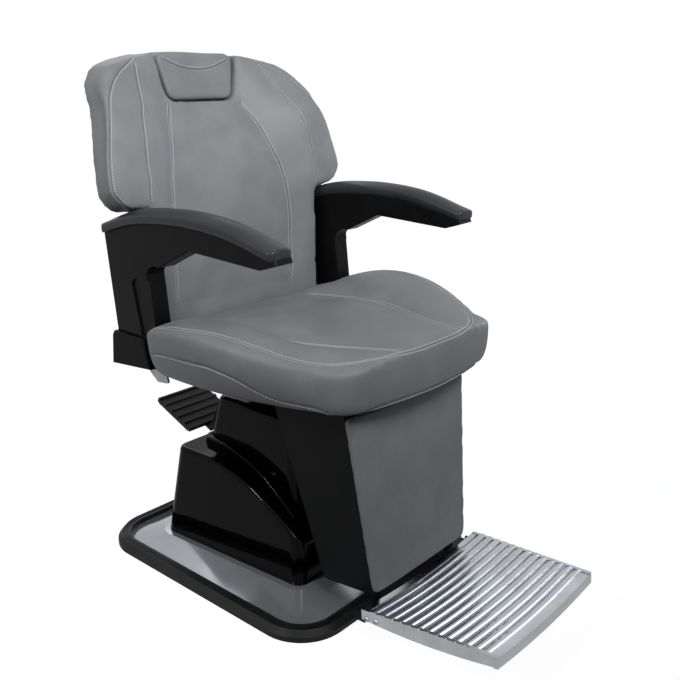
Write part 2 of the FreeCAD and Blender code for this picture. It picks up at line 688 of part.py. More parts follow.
RAIL_TOP = s.rail_bottom + s.rail_depth
RAIL_OUTER = s.rail_inner + s.rail_thickness
TUBE_END = s.rail_inner - s.side_gap


def crank_point(pivot_y, pivot_z):
    """The crank pin hangs below its pivot and a little behind it."""
    turn = math.radians(s.crank_angle)
    return (pivot_y + s.crank_radius * math.sin(turn), pivot_z - s.crank_radius * math.cos(turn))


BACK_CRANK = crank_point(s.recline_y, s.recline_z)
LEG_CRANK = crank_point(s.leg_pivot_y, s.leg_pivot_z)


def rail(side):
    low = s.rail_inner
    plate = side_form(low, RAIL_OUTER, [
        (float(s.leg_pivot_y + 30), float(s.rail_bottom)), (s.recline_y, float(s.rail_bottom)),
        (s.recline_y, float(s.recline_z + s.pivot_boss)), (s.seat_rear - 10, float(RAIL_TOP)),
        (float(s.leg_pivot_y + 4), float(RAIL_TOP)),
        (float(s.leg_pivot_y + 4), float(s.leg_pivot_z + s.leg_boss)),
        (float(s.leg_pivot_y), float(s.leg_pivot_z - s.leg_boss))])
    for y, z, radius in ((s.recline_y, s.recline_z, s.pivot_boss),
                         (s.leg_pivot_y, s.leg_pivot_z, s.leg_boss)):
        plate = plate.fuse(drill_x(low, RAIL_OUTER, y, z, radius))
    foot = side_form(low, RAIL_OUTER, rectangle(
        (float(s.recline_y - 10), float(s.recline_y + s.pivot_boss * 0.7)),
        (float(s.rail_bottom), float(s.recline_z - 10))))
    plate = plate.fuse(foot)
    for y, z, radius in ((s.recline_y, s.recline_z, s.recline_pin_radius),
                         (s.leg_pivot_y, s.leg_pivot_z, s.leg_pin_radius),
                         (s.shaft_y, s.shaft_z, s.shaft_radius + s.running_gap)):
        plate = plate.cut(drill_x(low, RAIL_OUTER, y, z, radius))
    for y in stay_bolt_rows():
        plate = plate.cut(drill_x(low, RAIL_OUTER, y, STAY_BOLT_Z, s.stay_bolt_radius))
    return mirrored(plate.removeSplitter(), side)


STAY_BOLT_Z = RAIL_TOP - 20
SHELF_LOW = s.block_bottom + 16


def stay_bolt_rows():
    return (s.stay_front + 14, s.stay_rear - 14)


def cross_tube(front):
    """A square tube between the rails; front is its leading face."""
    low, high = s.rail_bottom + s.frame_plate_thickness, RAIL_TOP
    wall = s.cross_wall
    tube = Part.makeBox(2 * s.rail_inner, s.cross_width, high - low, Vector(-s.rail_inner, front, low))
    hollow = Part.makeBox(2 * s.rail_inner, s.cross_width - 2 * wall, high - low - 2 * wall,
                          Vector(-s.rail_inner, front + wall, low + wall))
    return tube.cut(hollow)


def make_seat_frame():
    tubes = [cross_tube(-s.cross_front), cross_tube(s.frame_plate_rear - s.cross_width)]
    frame = rail(1).fuse([rail(-1)] + tubes)
    thick = s.frame_plate_thickness
    plate = Part.makeBox(2 * s.frame_plate_half, s.cross_front + s.frame_plate_rear, thick,
                         Vector(-s.frame_plate_half, -s.cross_front, s.rail_bottom))
    plate = plate.cut(Part.makeCylinder(s.nut_hole, thick, Vector(0, 0, s.rail_bottom)))
    for x, y in head_bolts():
        plate = plate.cut(Part.makeCylinder(s.frame_bolt_radius, thick, Vector(x, y, s.rail_bottom)))
    lug_low = BACK_CRANK[1] + s.lock_radius / 2
    lug_rear = s.frame_plate_rear - s.cross_width
    lug = Part.makeBox(2 * s.lock_radius, s.cross_width, s.rail_bottom + thick - lug_low,
                       Vector(s.lock_x - s.lock_radius, lug_rear, lug_low))
    lug = lug.cut(Part.makeCylinder(s.lock_radius, s.cross_width, Vector(s.lock_x, lug_rear, BACK_CRANK[1]),
                                    Vector(0, 1, 0)))
    part_feature("seat_frame", frame.fuse([plate, lug]).removeSplitter())

    seat = s.rail_bottom + thick
    length = thick + s.head_height * 0.8
    bolts = [hex_bolt(x, y, seat, s.frame_bolt_radius, length) for x, y in head_bolts()]
    part_feature("frame_bolts", Part.makeCompound(bolts))
    board = slab("XY_Plane", quad(s.board_half, s.board_half - 15, s.board_front, s.board_rear),
                 (RAIL_TOP, RAIL_TOP + s.board_thickness), s.cover_corner)
    node(board, "seat_board")
    make_pivots()


def pin_pair(pivot_y, pivot_z, radius):
    """Two headed pins through the rails, reaching into the tube between them."""
    pins = []
    for _, side in SIDES:
        shank = drill_x(s.rail_inner - s.pin_reach, RAIL_OUTER, pivot_y, pivot_z, radius)
        head = drill_x(RAIL_OUTER, RAIL_OUTER + s.pin_head, pivot_y, pivot_z, radius * 1.6)
        pins.append(mirrored(shank.fuse(head), side))
    return Part.makeCompound(pins)


def bush_pair(pivot_y, pivot_z, inner, outer):
    bushes = []
    for _, side in SIDES:
        sleeve = drill_x(s.rail_inner - s.pin_reach, TUBE_END, pivot_y, pivot_z, outer)
        bore = drill_x(s.rail_inner - s.pin_reach, TUBE_END, pivot_y, pivot_z, inner)
        bushes.append(mirrored(sleeve.cut(bore), side))
    return Part.makeCompound(bushes)


def make_pivots():
    part_feature("recline_pins", pin_pair(s.recline_y, s.recline_z, s.recline_pin_radius))
    part_feature("leg_pins", pin_pair(s.leg_pivot_y, s.leg_pivot_z, s.leg_pin_radius))
    part_feature("recline_bushes", bush_pair(
        s.recline_y, s.recline_z, s.recline_pin_radius + s.running_gap, s.recline_pin_radius + s.bush_wall))
    part_feature("leg_bushes", bush_pair(
        s.leg_pivot_y, s.leg_pivot_z, s.leg_pin_radius + s.running_gap, s.leg_pin_radius + s.bush_wall))


def hub_tube(pivot_y, pivot_z, outer, bore):
    """A tube on a pivot axis, bored at its ends for the bushes."""
    tube = drill_x(-TUBE_END, TUBE_END, pivot_y, pivot_z, outer)
    for _, side in SIDES:
        hole = drill_x(s.rail_inner - s.pin_reach - 2, TUBE_END, pivot_y, pivot_z, bore)
        tube = tube.cut(mirrored(hole, side))
    return tube


# Recline: link to the leg rest, lock and release lever

LINK_IN = s.link_x + s.link_thickness / 2
CRANK_GAP = 0.6


def make_link():
    low, high = s.link_x - s.link_thickness / 2, LINK_IN
    link = bar(LEG_CRANK, BACK_CRANK, s.link_radius, s.link_radius, low, high)
    link = link.cut(drill_x(low, high, LEG_CRANK[0], LEG_CRANK[1], s.crank_pin_radius + s.link_play))
    link = link.cut(drill_x(low, high, BACK_CRANK[0], BACK_CRANK[1], s.crank_pin_radius + s.running_gap))
    part_feature("sync_link", link)


def link_crank(pivot, pin, boss):
    """The crank plate beside the link, with its pin through the link's eye."""
    low = LINK_IN + CRANK_GAP
    plate = bar(pivot, pin, boss, s.crank_eye, low, low + s.link_thickness)
    stub = drill_x(s.link_x - s.link_thickness / 2 - 2, low, pin[0], pin[1], s.crank_pin_radius)
    return plate.fuse(stub)


def make_lock():
    y_low, y_high = s.lock_front, s.lock_rear
    axis = Vector(0, 1, 0)
    z = BACK_CRANK[1]
    housing = Part.makeCylinder(s.lock_radius, y_high - y_low, Vector(s.lock_x, y_low, z), axis)
    bore = Part.makeCylinder(s.lock_rod_radius + s.running_gap, y_high - y_low - 2,
                             Vector(s.lock_x, y_low + 2, z), axis)
    part_feature("lock_housing", housing.cut(bore))

    half = s.crank_pin_radius + s.fork_side_gap + s.fork_wall
    start = BACK_CRANK[0] - half
    shank = Part.makeCylinder(s.lock_rod_radius, start - s.lock_rod_front + 1,
                              Vector(s.lock_x, s.lock_rod_front, z), axis)
    low = z - s.crank_pin_radius - s.fork_travel_gap - s.fork_wall
    high = z + s.crank_pin_radius + s.fork_side_gap + s.fork_wall
    fork = Part.makeBox(s.fork_width, 2 * half, high - low, Vector(s.lock_x - s.fork_width / 2, start, low))
    slot = Part.makeBox(s.fork_width, 2 * (half - s.fork_wall), high - low - 2 * s.fork_wall,
                        Vector(s.lock_x - s.fork_width / 2, start + s.fork_wall, low + s.fork_wall))
    part_feature("lock_rod", shank.fuse(fork).cut(slot).removeSplitter())


def lock_crank():
    """The crank plate beside the lock's fork, with its pin through the slot."""
    low = s.lock_x + s.fork_width / 2 + s.side_gap
    plate = bar((s.recline_y, s.recline_z), BACK_CRANK, s.back_tube_radius + 6, s.crank_eye,
                low, low + s.link_thickness)
    pin = drill_x(s.lock_x - s.fork_width / 2 - 1, low, BACK_CRANK[0], BACK_CRANK[1], s.crank_pin_radius)
    return plate.fuse(pin)


def make_release():
    x_low = s.handle_x - s.handle_thickness
    x_high = s.lock_x + s.lock_radius
    y, z = s.shaft_y, s.shaft_z
    shaft = drill_x(s.handle_x, x_high, y, z, s.shaft_radius)
    cam = bar((y, z), (y - 16, z - 4), s.cam_radius, 5, s.lock_x - 6, s.lock_x + 6)
    part_feature("release_shaft", shaft.fuse(cam))
    paddle = [(y - 22, z + 4.0), (y - 28, z - 17.0), (y + 9, z - 21.0), (y + 36, z - 1.0),
              (y + 34, z + 8.0)]
    plate = side_form(x_low, s.handle_x, [(float(a), float(b)) for a, b in paddle])
    corners = [e for e in plate.Edges if runs_along(Vector(1, 0, 0))(e)]
    part_feature("release_paddle", plate.makeFillet(4, corners))


# Seat cushion


def seat_outline(inset_side, inset_corner, inset_front, bulge, z):
    """Plan of the wide part of the cushion: straight flanks, round corners, bowed front."""
    rear_y, rear_x = s.seat_wide_rear, s.seat_half - inset_side
    side = (s.seat_half + bulge - inset_side, -60)
    corner = (s.seat_front_half - inset_corner, -s.seat_corner_y + inset_front / 2)
    shoulder = (s.seat_front_half - s.seat_shoulder - inset_corner,
                -s.seat_corner_y - s.seat_shoulder_y + inset_front)
    nose = (0, -s.seat_front + inset_front)
    turn = ((corner[0] + shoulder[0]) / 2 + 9, (corner[1] + shoulder[1]) / 2 - 7)

    def point(pair, side_sign=1):
        return (side_sign * pair[0], pair[1], z)

    back = (rear_x, rear_y)
    edges = [three_point(point(back), point(side), point(corner)),
             three_point(point(corner), point(turn), point(shoulder)),
             three_point(point(shoulder), point(nose), point(shoulder, -1)),
             three_point(point(shoulder, -1), point(turn, -1), point(corner, -1)),
             three_point(point(corner, -1), point(side, -1), point(back, -1)),
             straight(point(back, -1), point(back))]
    return Part.Wire(edges)


def seat_rear_outline(inset, z):
    """Plan of the narrow rear part, whose corners step clear of the back's bolsters."""
    half, front, rear = s.seat_rear_half - inset, -s.seat_corner_y / 2, s.seat_rear - inset
    points = [(-half, front), (half, front), (half, rear - s.rear_step), (s.dish_half - 16, rear),
              (16 - s.dish_half, rear), (-half, rear - s.rear_step)]
    return rounded_outline(points, s.rear_corner, z)


def seat_ceiling(y, dish, crest, edge, dish_half):
    """Section across the seat at y of everything above its top surface."""
    top = s.bolster_crest + 60
    reach = s.seat_half + 60
    crest_x = s.bolster_x
    points = {"dish": (dish_half, y, dish + 1), "crest": (crest_x, y, crest), "edge": (reach, y, edge)}

    def flip(name):
        x, y_here, z = points[name]
        return (-x, y_here, z)

    edges = [three_point(flip("edge"), flip("crest"), flip("dish")),
             three_point(flip("dish"), (0, y, dish), points["dish"]),
             three_point(points["dish"], points["crest"], points["edge"]),
             straight(points["edge"], (reach, y, top)), straight((reach, y, top), (-reach, y, top)),
             straight((-reach, y, top), flip("edge"))]
    return Part.Wire(edges)


def make_seat_cushion():
    tuck, low, bulge = s.seat_tuck, s.seat_bottom, s.seat_bulge
    levels = [seat_outline(tuck + 14, tuck - 9, 7, 0, low),
              seat_outline(tuck - 4, 8, 2, bulge / 3, low + 18),
              seat_outline(6, 2, 0, bulge, low + 72), seat_outline(4, 4, 2, bulge, s.seam_height),
              seat_outline(14, 14, 12, bulge / 2, s.bolster_crest + 20)]
    wide = Part.makeLoft(levels, True, False)
    narrow = Part.makeLoft([seat_rear_outline(tuck / 3, low), seat_rear_outline(0, low + 40),
                            seat_rear_outline(0, s.bolster_crest + 20)], True, True)
    dish, crest, edge = s.dish_height, s.bolster_crest, s.seam_height
    stations = [(s.seat_rear + 20, dish - 24, crest - 56, edge - 52, s.dish_half - 20),
                (60, dish - 4, crest - 28, edge - 32, s.dish_half - 6),
                (0, dish - 1, crest - 9, edge - 24, s.dish_half - 2),
                (-60, dish, crest, edge - 22, s.dish_half),
                (-170, dish, crest - 8, edge - 36, s.dish_half),
                (-290, dish + 3, crest - 38, edge - 60, s.dish_half - 30),
                (-s.seat_front - 20, s.lip_height, s.lip_height - 18, edge - 70, s.dish_half - 70)]
    ceiling = Part.makeLoft([seat_ceiling(*row) for row in stations], True, False)
    pocket = prism(rounded_outline(quad(s.board_half + s.soft_gap, s.board_half - 15 + s.soft_gap,
                                        s.board_front + s.soft_gap, s.board_rear + s.soft_gap),
                                   s.cover_corner, low - 10),
                   (0, 0, RAIL_TOP + s.board_thickness - low + 10))
    body = wide.fuse(narrow).cut(ceiling).cut(pocket)
    for half, top in ((RAIL_OUTER + s.fit_gap, RAIL_TOP + s.rail_relief),
                      (s.block_inner, SHELF_LOW + s.stay_thickness)):
        body = body.cut(Part.makeBox(2 * half, s.seat_rear - s.board_rear + 1, top + s.soft_gap - low,
                                     Vector(-half, s.board_rear, low)))
    part_feature("seat_cushion", body.removeSplitter())


# Back: cushion, board, rear cover and the welded frame behind them


def back_stations():
    """Height, centre face, inner seam, outer seam, outer seam's face, edge's face, evenly up the back."""
    face, low, rise = s.back_face, s.back_bottom, (s.back_top + 11 - s.back_bottom) / 11
    rows = [(1, 179, 248, -26, -23), (0, 180, 250, -29, -25), (0, 180, 250, -29, -26),
            (0, 180, 250, -29, -26), (0, 180, 250, -29, -26), (0, 178, 251, -28.5, -26),
            (9.5, 170, 252, -27, -23), (27.5, 153, 248, -16, -10), (54, 134, 238, -1, 3),
            (90, 113, 217, 34, 28), (110, 99, 190, 82, 72), (121, 86, 160, 122, 116)]
    return [(low + i * rise, face + row[0], row[1], row[2], face + row[3], face + row[4])
            for i, row in enumerate(rows)]


def back_section(z, centre, seam_in, seam_out, seam_face, edge_face):
    """Plan of the cushion at a height: flat centre, raised bolsters, outer panels and a bowed rear."""
    half = s.wing_side
    edge = half - 6

    def point(x, y, sign=1):
        return (sign * x, y, z)

    rear = (half - 10, edge_face + s.wing_edge)
    edges = [straight(point(seam_in, centre, -1), point(seam_in, centre))]
    right = [three_point(point(seam_in, centre),
                         point((seam_in + seam_out) / 2, (centre + seam_face) / 2 - 5),
                         point(seam_out, seam_face)),
             three_point(point(seam_out, seam_face),
                         point((seam_out + edge) / 2, (seam_face + edge_face) / 2 - 3),
                         point(edge, edge_face)),
             three_point(point(edge, edge_face), point(half, edge_face + s.wing_edge / 2), point(*rear))]
    left = [three_point(point(rear[0], rear[1], -1), point(half, edge_face + s.wing_edge / 2, -1),
                        point(edge, edge_face, -1)),
            three_point(point(edge, edge_face, -1),
                        point((seam_out + edge) / 2, (seam_face + edge_face) / 2 - 3, -1),
                        point(seam_out, seam_face, -1)),
            three_point(point(seam_out, seam_face, -1),
                        point((seam_in + seam_out) / 2, (centre + seam_face) / 2 - 5, -1),
                        point(seam_in, centre, -1))]
    bow = three_point(point(*rear), (0, centre + s.back_thick, z), point(rear[0], rear[1], -1))
    return Part.Wire(edges + right + [bow] + left)


def rear_section(station, near, far):
    """A band behind the cushion between two distances from its rear face."""
    z, centre, edge_face = station[0], station[1], station[5]
    x, y = s.wing_side - 10, edge_face + s.wing_edge
    middle = centre + s.back_thick
    edges = [three_point((x, y + near, z), (0, middle + near, z), (-x, y + near, z)),
             straight((-x, y + near, z), (-x, y + far, z)),
             three_point((-x, y + far, z), (0, middle + far, z), (x, y + far, z)),
             straight((x, y + far, z), (x, y + near, z))]
    return Part.Wire(edges)


def rear_band(near, far):
    rows = back_stations()[:10]
    return Part.makeLoft([rear_section(row, near, far) for row in rows], True, True)


def rear_panel(half, low, high, corner):
    """A rounded upright plate outline run through the back."""
    wire = rounded_outline([(-half, high), (-half, low), (half, low), (half, high)], corner, 0)
    solid = prism(wire, (0, 0, 400))
    solid.rotate(Vector(), Vector(1, 0, 0), 90)
    solid.translate(Vector(0, 500, 0))
    return solid


def lean():
    """The headrest's own frame: on the cushion's face at the recess, leaning back with it."""
    low = s.back_top - s.head_drop
    return Placement(Vector(0, s.head_face, low), Rotation(Vector(1, 0, 0), -float(s.head_lean)))


def head_slope():
    """Height of the headrest measured up its slope."""
    return s.head_drop / math.cos(math.radians(s.head_lean))


def head_block(gap, depth, top):
    """The trapezoid insert in its own frame: X across, -Y out of the face, Z up the slope."""
    low, high = s.head_low_half, s.head_top_half
    height = head_slope()
    spread = (high - low) / height
    reach = top + gap
    points = [(-high - gap - spread * (reach - height), reach), (-low - gap + spread * gap, -gap),
              (low + gap - spread * gap, -gap), (high + gap + spread * (reach - height), reach)]
    wire = rounded_outline(points, s.head_corner, 0)
    solid = prism(wire, (0, 0, depth + 40))
    solid.rotate(Vector(), Vector(1, 0, 0), 90)
    solid.translate(Vector(0, depth, 0))
    return solid


def channel_block(gap, low, high, x_half, y_low, y_high):
    return Part.makeBox(2 * (x_half + gap), y_high - y_low + 2 * gap, high - low,
                        Vector(-x_half - gap, y_low - gap, low))


def under_wing():
    """What is cut away below a wing: its edge slopes down to the rear and turns up at the outer corner."""
    half, inner, low = s.wing_half, s.back_low_half, s.back_bottom - 100
    base = s.back_top - s.wing_drop + s.wing_slope * s.back_face
    turn, side = (half - 60, 0, base + 3), (half, 0, base + 54)
    beyond = (2 * half, 0, base + 54)
    corners = [beyond, (2 * half, 0, low), (inner, 0, low), (inner, 0, base), turn]
    edges = [straight(first, last) for first, last in zip(corners, corners[1:])]
    edges += [three_point(turn, (half - 14, 0, base + 22), side), straight(side, beyond)]
    return prism(Part.Wire(edges), (0, s.wing_reach, -s.wing_reach * s.wing_slope))


def wing_outline():
    """Front view of the back: nearly straight wing sides, round shoulders and a bowed top."""
    half, top, low = s.wing_half, s.back_top, s.back_bottom - 1
    side, shoulder, crown = (half, 0, low), (half, 0, top - 275), (half - 41, 0, top - 108)
    turn, over = (half - 64, 0, top - 57), (half - 122, 0, top - 22)

    flank = (half - 14, 0, top - 192)

    def flip(point):
        return (-point[0], point[1], point[2])

    edges = [straight(flip(side), side), straight(side, shoulder), three_point(shoulder, flank, crown),
             three_point(crown, turn, over), three_point(over, (0, 0, top + 2), flip(over)),
             three_point(flip(over), flip(turn), flip(crown)),
             three_point(flip(crown), flip(flank), flip(shoulder)), straight(flip(shoulder), flip(side))]
    return prism(Part.Wire(edges), (0, s.wing_reach, 0))


def make_back():
    body = Part.makeLoft([back_section(*row) for row in back_stations()], True, False)
    under = under_wing()
    cushion = body.common(wing_outline()).cut(under).cut(mirrored(under, -1))
    recess = moved(head_block(s.head_gap, s.head_pad + s.head_gap, head_slope() + 60), lean())
    y_bar = s.head_pad - s.head_bar_thick

    def bar_slot(gap):
        return moved(channel_block(gap, -s.head_bar_length, 10, s.head_bar_width / 2, y_bar, y_bar + 200),
                     lean())

    cushion = cushion.cut(recess).cut(bar_slot(s.guide_wall + s.head_gap))
    cushion = cushion.cut(rear_band(-s.soft_gap, s.back_cover_depth * 2).common(
        rear_panel(s.back_cover_half + 1, s.back_bottom + 12, s.back_board_top + 12, 40)))
    part_feature("back_cushion", cushion.removeSplitter())

    low, high = s.back_bottom + 24, s.back_board_top
    board = rear_band(0, s.back_board).common(rear_panel(s.back_cover_half, low - 10, high + 10, 40))
    part_feature("back_board", board.cut(bar_slot(s.guide_wall + s.running_gap)))
    outer = rear_band(s.back_board, s.back_board + s.back_cover_depth)
    outer = outer.common(rear_panel(s.back_cover_half, low - 10, high + 10, 40))
    wall = s.back_cover_wall
    inner = rear_band(s.back_board - 1, s.back_board + s.back_cover_depth - wall)
    inner = inner.common(rear_panel(s.back_cover_half - wall, low - 60, high + 10 - wall, 40 - wall))
    part_feature("back_cover", outer.cut(inner))
    make_headrest()
    make_back_frame()


def make_headrest():
    head_height = head_slope()
    pad = head_block(0, s.head_pad - s.head_bar_thick, head_height)
    face = Part.makeBox(400, 60, 300, Vector(-200, -60, -50))
    pad = pad.cut(face)
    rims = [e for e in pad.Edges if e.BoundBox.YMax < 1e-6]
    pad = pad.makeFillet(8, rims)
    part_feature("headrest_pad", moved(pad, lean()))
    y_bar = s.head_pad - s.head_bar_thick
    low = head_height * 0.6 - s.head_bar_length
    strip = Part.makeBox(s.head_bar_width, s.head_bar_thick, s.head_bar_length,
                         Vector(-s.head_bar_width / 2, y_bar, low))
    part_feature("headrest_bar", moved(strip, lean()))
    wall = s.guide_wall
    top = -s.guide_drop
    outer = channel_block(wall + s.running_gap, top - s.guide_length, top, s.head_bar_width / 2,
                          y_bar, y_bar + s.head_bar_thick)
    inner = channel_block(s.running_gap, top - s.guide_length, top, s.head_bar_width / 2,
                          y_bar, y_bar + s.head_bar_thick)
    part_feature("headrest_guide", moved(outer.cut(inner), lean()))


def make_back_frame():
    """Cross tube on the recline axis, two cranked uprights and the two crank plates."""
    y, z = s.recline_y, s.recline_z
    boss = s.back_tube_radius + 6
    frame = hub_tube(y, z, s.back_tube_radius, s.recline_pin_radius + s.bush_wall)
    rear = s.back_face + s.back_thick + s.back_board - 4
    thick = s.upright_thick
    knee = s.back_bottom + 6
    bend = s.back_top - 335
    lean_back = (s.upright_top - bend) * 0.27
    corners = [(y - 6, z - 10), (y + 12, z - 13), (rear + thick, knee - 12), (rear + thick, bend),
               (rear + thick + lean_back, s.upright_top), (rear + lean_back, s.upright_top), (rear, bend),
               (rear, knee), (y + 6, z + 12), (y - 6, z + 12)]
    corners = [(float(a), float(b)) for a, b in corners]
    for _, side in SIDES:
        low = s.upright_x - s.upright_width / 2
        frame = frame.fuse(mirrored(side_form(low, low + s.upright_width, corners), side))
    frame = frame.fuse(link_crank((y, z), BACK_CRANK, boss)).fuse(lock_crank())
    for _, side in SIDES:
        hole = drill_x(s.rail_inner - s.pin_reach - 2, TUBE_END, y, z, s.recline_pin_radius + s.bush_wall)
        frame = frame.cut(mirrored(hole, side))
    part_feature("back_frame", frame.removeSplitter())


# Arms


def arm_bracket():
    """The moulded arm: a bowed beam that bends down into the rear post."""
    low, high = s.arm_inner + s.pad_lip, s.arm_outer
    top = s.arm_top
    base = s.block_top
    corners = [(-242, top - 66), (-286, top - 51), (-278, top - 36), (-62, top - 7), (214, top - 47),
               (227, top - 52), (203, base), (70, base), (86, top - 122), (50, top - 104),
               (-47, top - 57)]
    bends = {2: (-170, top - 19), 3: (87, top - 15), 8: (78, top - 109)}
    return side_form(low, high, [(float(a), float(b)) for a, b in corners],
                     {k: (float(a), float(b)) for k, (a, b) in bends.items()})


def arm_pad_solid():
    """The pad: cross sections whose rounded top follows the bow of the arm."""
    top = s.arm_top
    wires = []
    rows = ((228, -36, 6), (164, -17, 10), (100, -3, 12), (36, 4, 12), (-28, 7, 12), (-92, 5.5, 12),
            (-156, -1, 12), (-220, -14, 10), (-284, -29, 6))
    x_in, x_out = s.arm_inner, s.pad_outer
    for y, rise, crown in rows:
        edge = top + rise
        low = edge - s.pad_thickness
        middle = ((x_in + x_out) / 2, y, edge + crown)
        edges = [straight((x_in, y, low), (x_out, y, low)), straight((x_out, y, low), (x_out, y, edge)),
                 three_point((x_out, y, edge), middle, (x_in, y, edge)),
                 straight((x_in, y, edge), (x_in, y, low))]
        wires.append(Part.Wire(edges))
    pad = Part.makeLoft(wires, True, False)
    uprights = [e for e in pad.Edges if e.BoundBox.XLength < 0.5 and e.BoundBox.YLength < 0.5]
    return pad.makeFillet(s.pad_corner, uprights)


def make_arms():
    pad_form = arm_pad_solid()
    bracket = arm_bracket()
    outer_edges = [e for e in bracket.Edges if not runs_along(Vector(1, 0, 0))(e)]
    bracket = bracket.makeFillet(s.arm_rounding, outer_edges)
    bracket = bracket.cut(pad_form)
    recess_top = float(s.arm_top) - 136
    step = side_form(s.arm_outer - s.post_recess, s.arm_outer + 1, [
        (60.0, float(s.block_top) + 6), (116.0, float(s.block_top) + 6), (139.0, recess_top - 18),
        (121.0, recess_top), (60.0, recess_top)], {2: (134.0, recess_top - 4)})
    bracket = bracket.cut(step)
    front, rear = float(s.block_front), float(s.block_rear)
    low, high = float(s.block_bottom), float(s.block_top)
    block = side_form(s.block_inner, s.block_outer, [
        (front - 8, low + 12), (rear + 3, low), (rear - 4, high - 10), (rear - 10, high),
        (front + 14, high), (front + 8, high - 8)])
    outside = [e for e in block.Edges if e.BoundBox.XMin > s.block_outer - 1]
    block = block.makeFillet(s.arm_rounding, outside)
    stay = stay_form()
    for name, side in SIDES:
        part_feature("arm_%s" % name, mirrored(bracket, side))
        part_feature("arm_pad_%s" % name, mirrored(pad_form, side))
        part_feature("arm_block_%s" % name, mirrored(block.cut(stay), side))
        part_feature("arm_stay_%s" % name, mirrored(stay, side))
    bolts = []
    for _, side in SIDES:
        for y in stay_bolt_rows():
            low = s.rail_inner - 4
            shank = drill_x(low, RAIL_OUTER + s.stay_thickness, y, STAY_BOLT_Z, s.stay_bolt_radius)
            head = drill_x(RAIL_OUTER + s.stay_thickness, RAIL_OUTER + s.stay_thickness + 4, y, STAY_BOLT_Z,
                           1.7 * s.stay_bolt_radius)
            bolts.append(mirrored(shank.fuse(head), side))
    part_feature("stay_bolts", Part.makeCompound(bolts))


def stay_form():
    """The steel angle that carries an arm: a flange on the rail, a shelf outwards and an upright."""
    thick, width = s.stay_thickness, s.stay_rear - s.stay_front
    y, low, floor = s.stay_front, s.rail_bottom + 22, SHELF_LOW
    flange = Part.makeBox(thick, width, floor - low + thick, Vector(RAIL_OUTER, y, low))
    shelf = Part.makeBox(s.arm_inner + 30 - RAIL_OUTER, width, thick, Vector(RAIL_OUTER, y, floor))
    upright = Part.makeBox(thick, width, s.block_top - floor, Vector(s.arm_inner + 25, y, floor))
    for row in stay_bolt_rows():
        flange = flange.cut(drill_x(RAIL_OUTER, RAIL_OUTER + thick, row, STAY_BOLT_Z, s.stay_bolt_radius))
    shaft = drill_x(RAIL_OUTER, RAIL_OUTER + thick, s.shaft_y, s.shaft_z, s.shaft_radius + s.side_gap)
    return flange.cut(shaft).fuse([shelf, upright]).removeSplitter()


# Leg rest


def calf_y(z):
    """Front face of the calf pad at a height."""
    share = (s.calf_top - z) / (s.calf_top - s.calf_bottom)
    return -(s.calf_top_y + share * (s.calf_bottom_y - s.calf_top_y))


def calf_half(z):
    share = (s.calf_top - z) / (s.calf_top - s.calf_bottom)
    return s.calf_top_half + share * (s.calf_bottom_half - s.calf_top_half)


def calf_section(z, tuck):
    y, half = calf_y(z), calf_half(z) - tuck
    rear = y + s.calf_pad
    left, right = (-half, y + tuck / 2, z), (half, y + tuck / 2, z)
    edges = [three_point(left, (0, y - s.calf_crown + tuck, z), right),
             three_point(right, (half + 2, (y + rear) / 2, z), (half - 3, rear, z)),
             straight((half - 3, rear, z), (-half + 3, rear, z)),
             three_point((-half + 3, rear, z), (-half - 2, (y + rear) / 2, z), left)]
    return Part.Wire(edges)


def sloped_plate(z_low, z_high, near, far, inset):
    """A plate that follows the slope and taper of the calf pad."""
    wires = []
    for z in (z_low, z_high):
        y, half = calf_y(z), calf_half(z) - inset
        wires.append(Part.makePolygon([Vector(-half, y + near, z), Vector(half, y + near, z),
                                       Vector(half, y + far, z), Vector(-half, y + far, z),
                                       Vector(-half, y + near, z)]))
    return Part.makeLoft(wires, True, True)


def leg_panel():
    """One side panel: a tapered sheet whose rear edge slopes down to the front."""
    top, low = s.panel_top, s.panel_bottom
    near = s.calf_pad
    outline = [(calf_y(top) + near, top), (-s.panel_rear_top, top), (-s.panel_rear_bottom, low + 6),
               (-s.panel_rear_bottom - 8, low), (calf_y(low + 16) + near, low + 16)]
    corners = [Vector(calf_half(z) - s.panel_inset, y, z) for y, z in outline]
    sheet_face = Part.Face(Part.makePolygon(corners + corners[:1]))
    return sheet_face.extrude(Vector(-s.panel_thickness, 0, 0))


def make_leg_rest():
    top, low = s.calf_top, s.calf_bottom
    sections = [calf_section(low, 7), calf_section(low + 3, 2), calf_section(low + 10, 0),
                calf_section(top - 10, 0), calf_section(top - 3, 2), calf_section(top, 7)]
    part_feature("calf_pad", Part.makeLoft(sections, True, True))
    inner = s.panel_thickness + s.panel_inset
    part_feature("calf_board", sloped_plate(low + 12, top - s.calf_board_drop, s.calf_pad,
                                            s.calf_pad + s.calf_board, inner))
    panel = leg_panel()
    for name, side in SIDES:
        part_feature("leg_panel_%s" % name, mirrored(panel, side))
    make_leg_frame()
    make_foot_bar()
    make_tread()


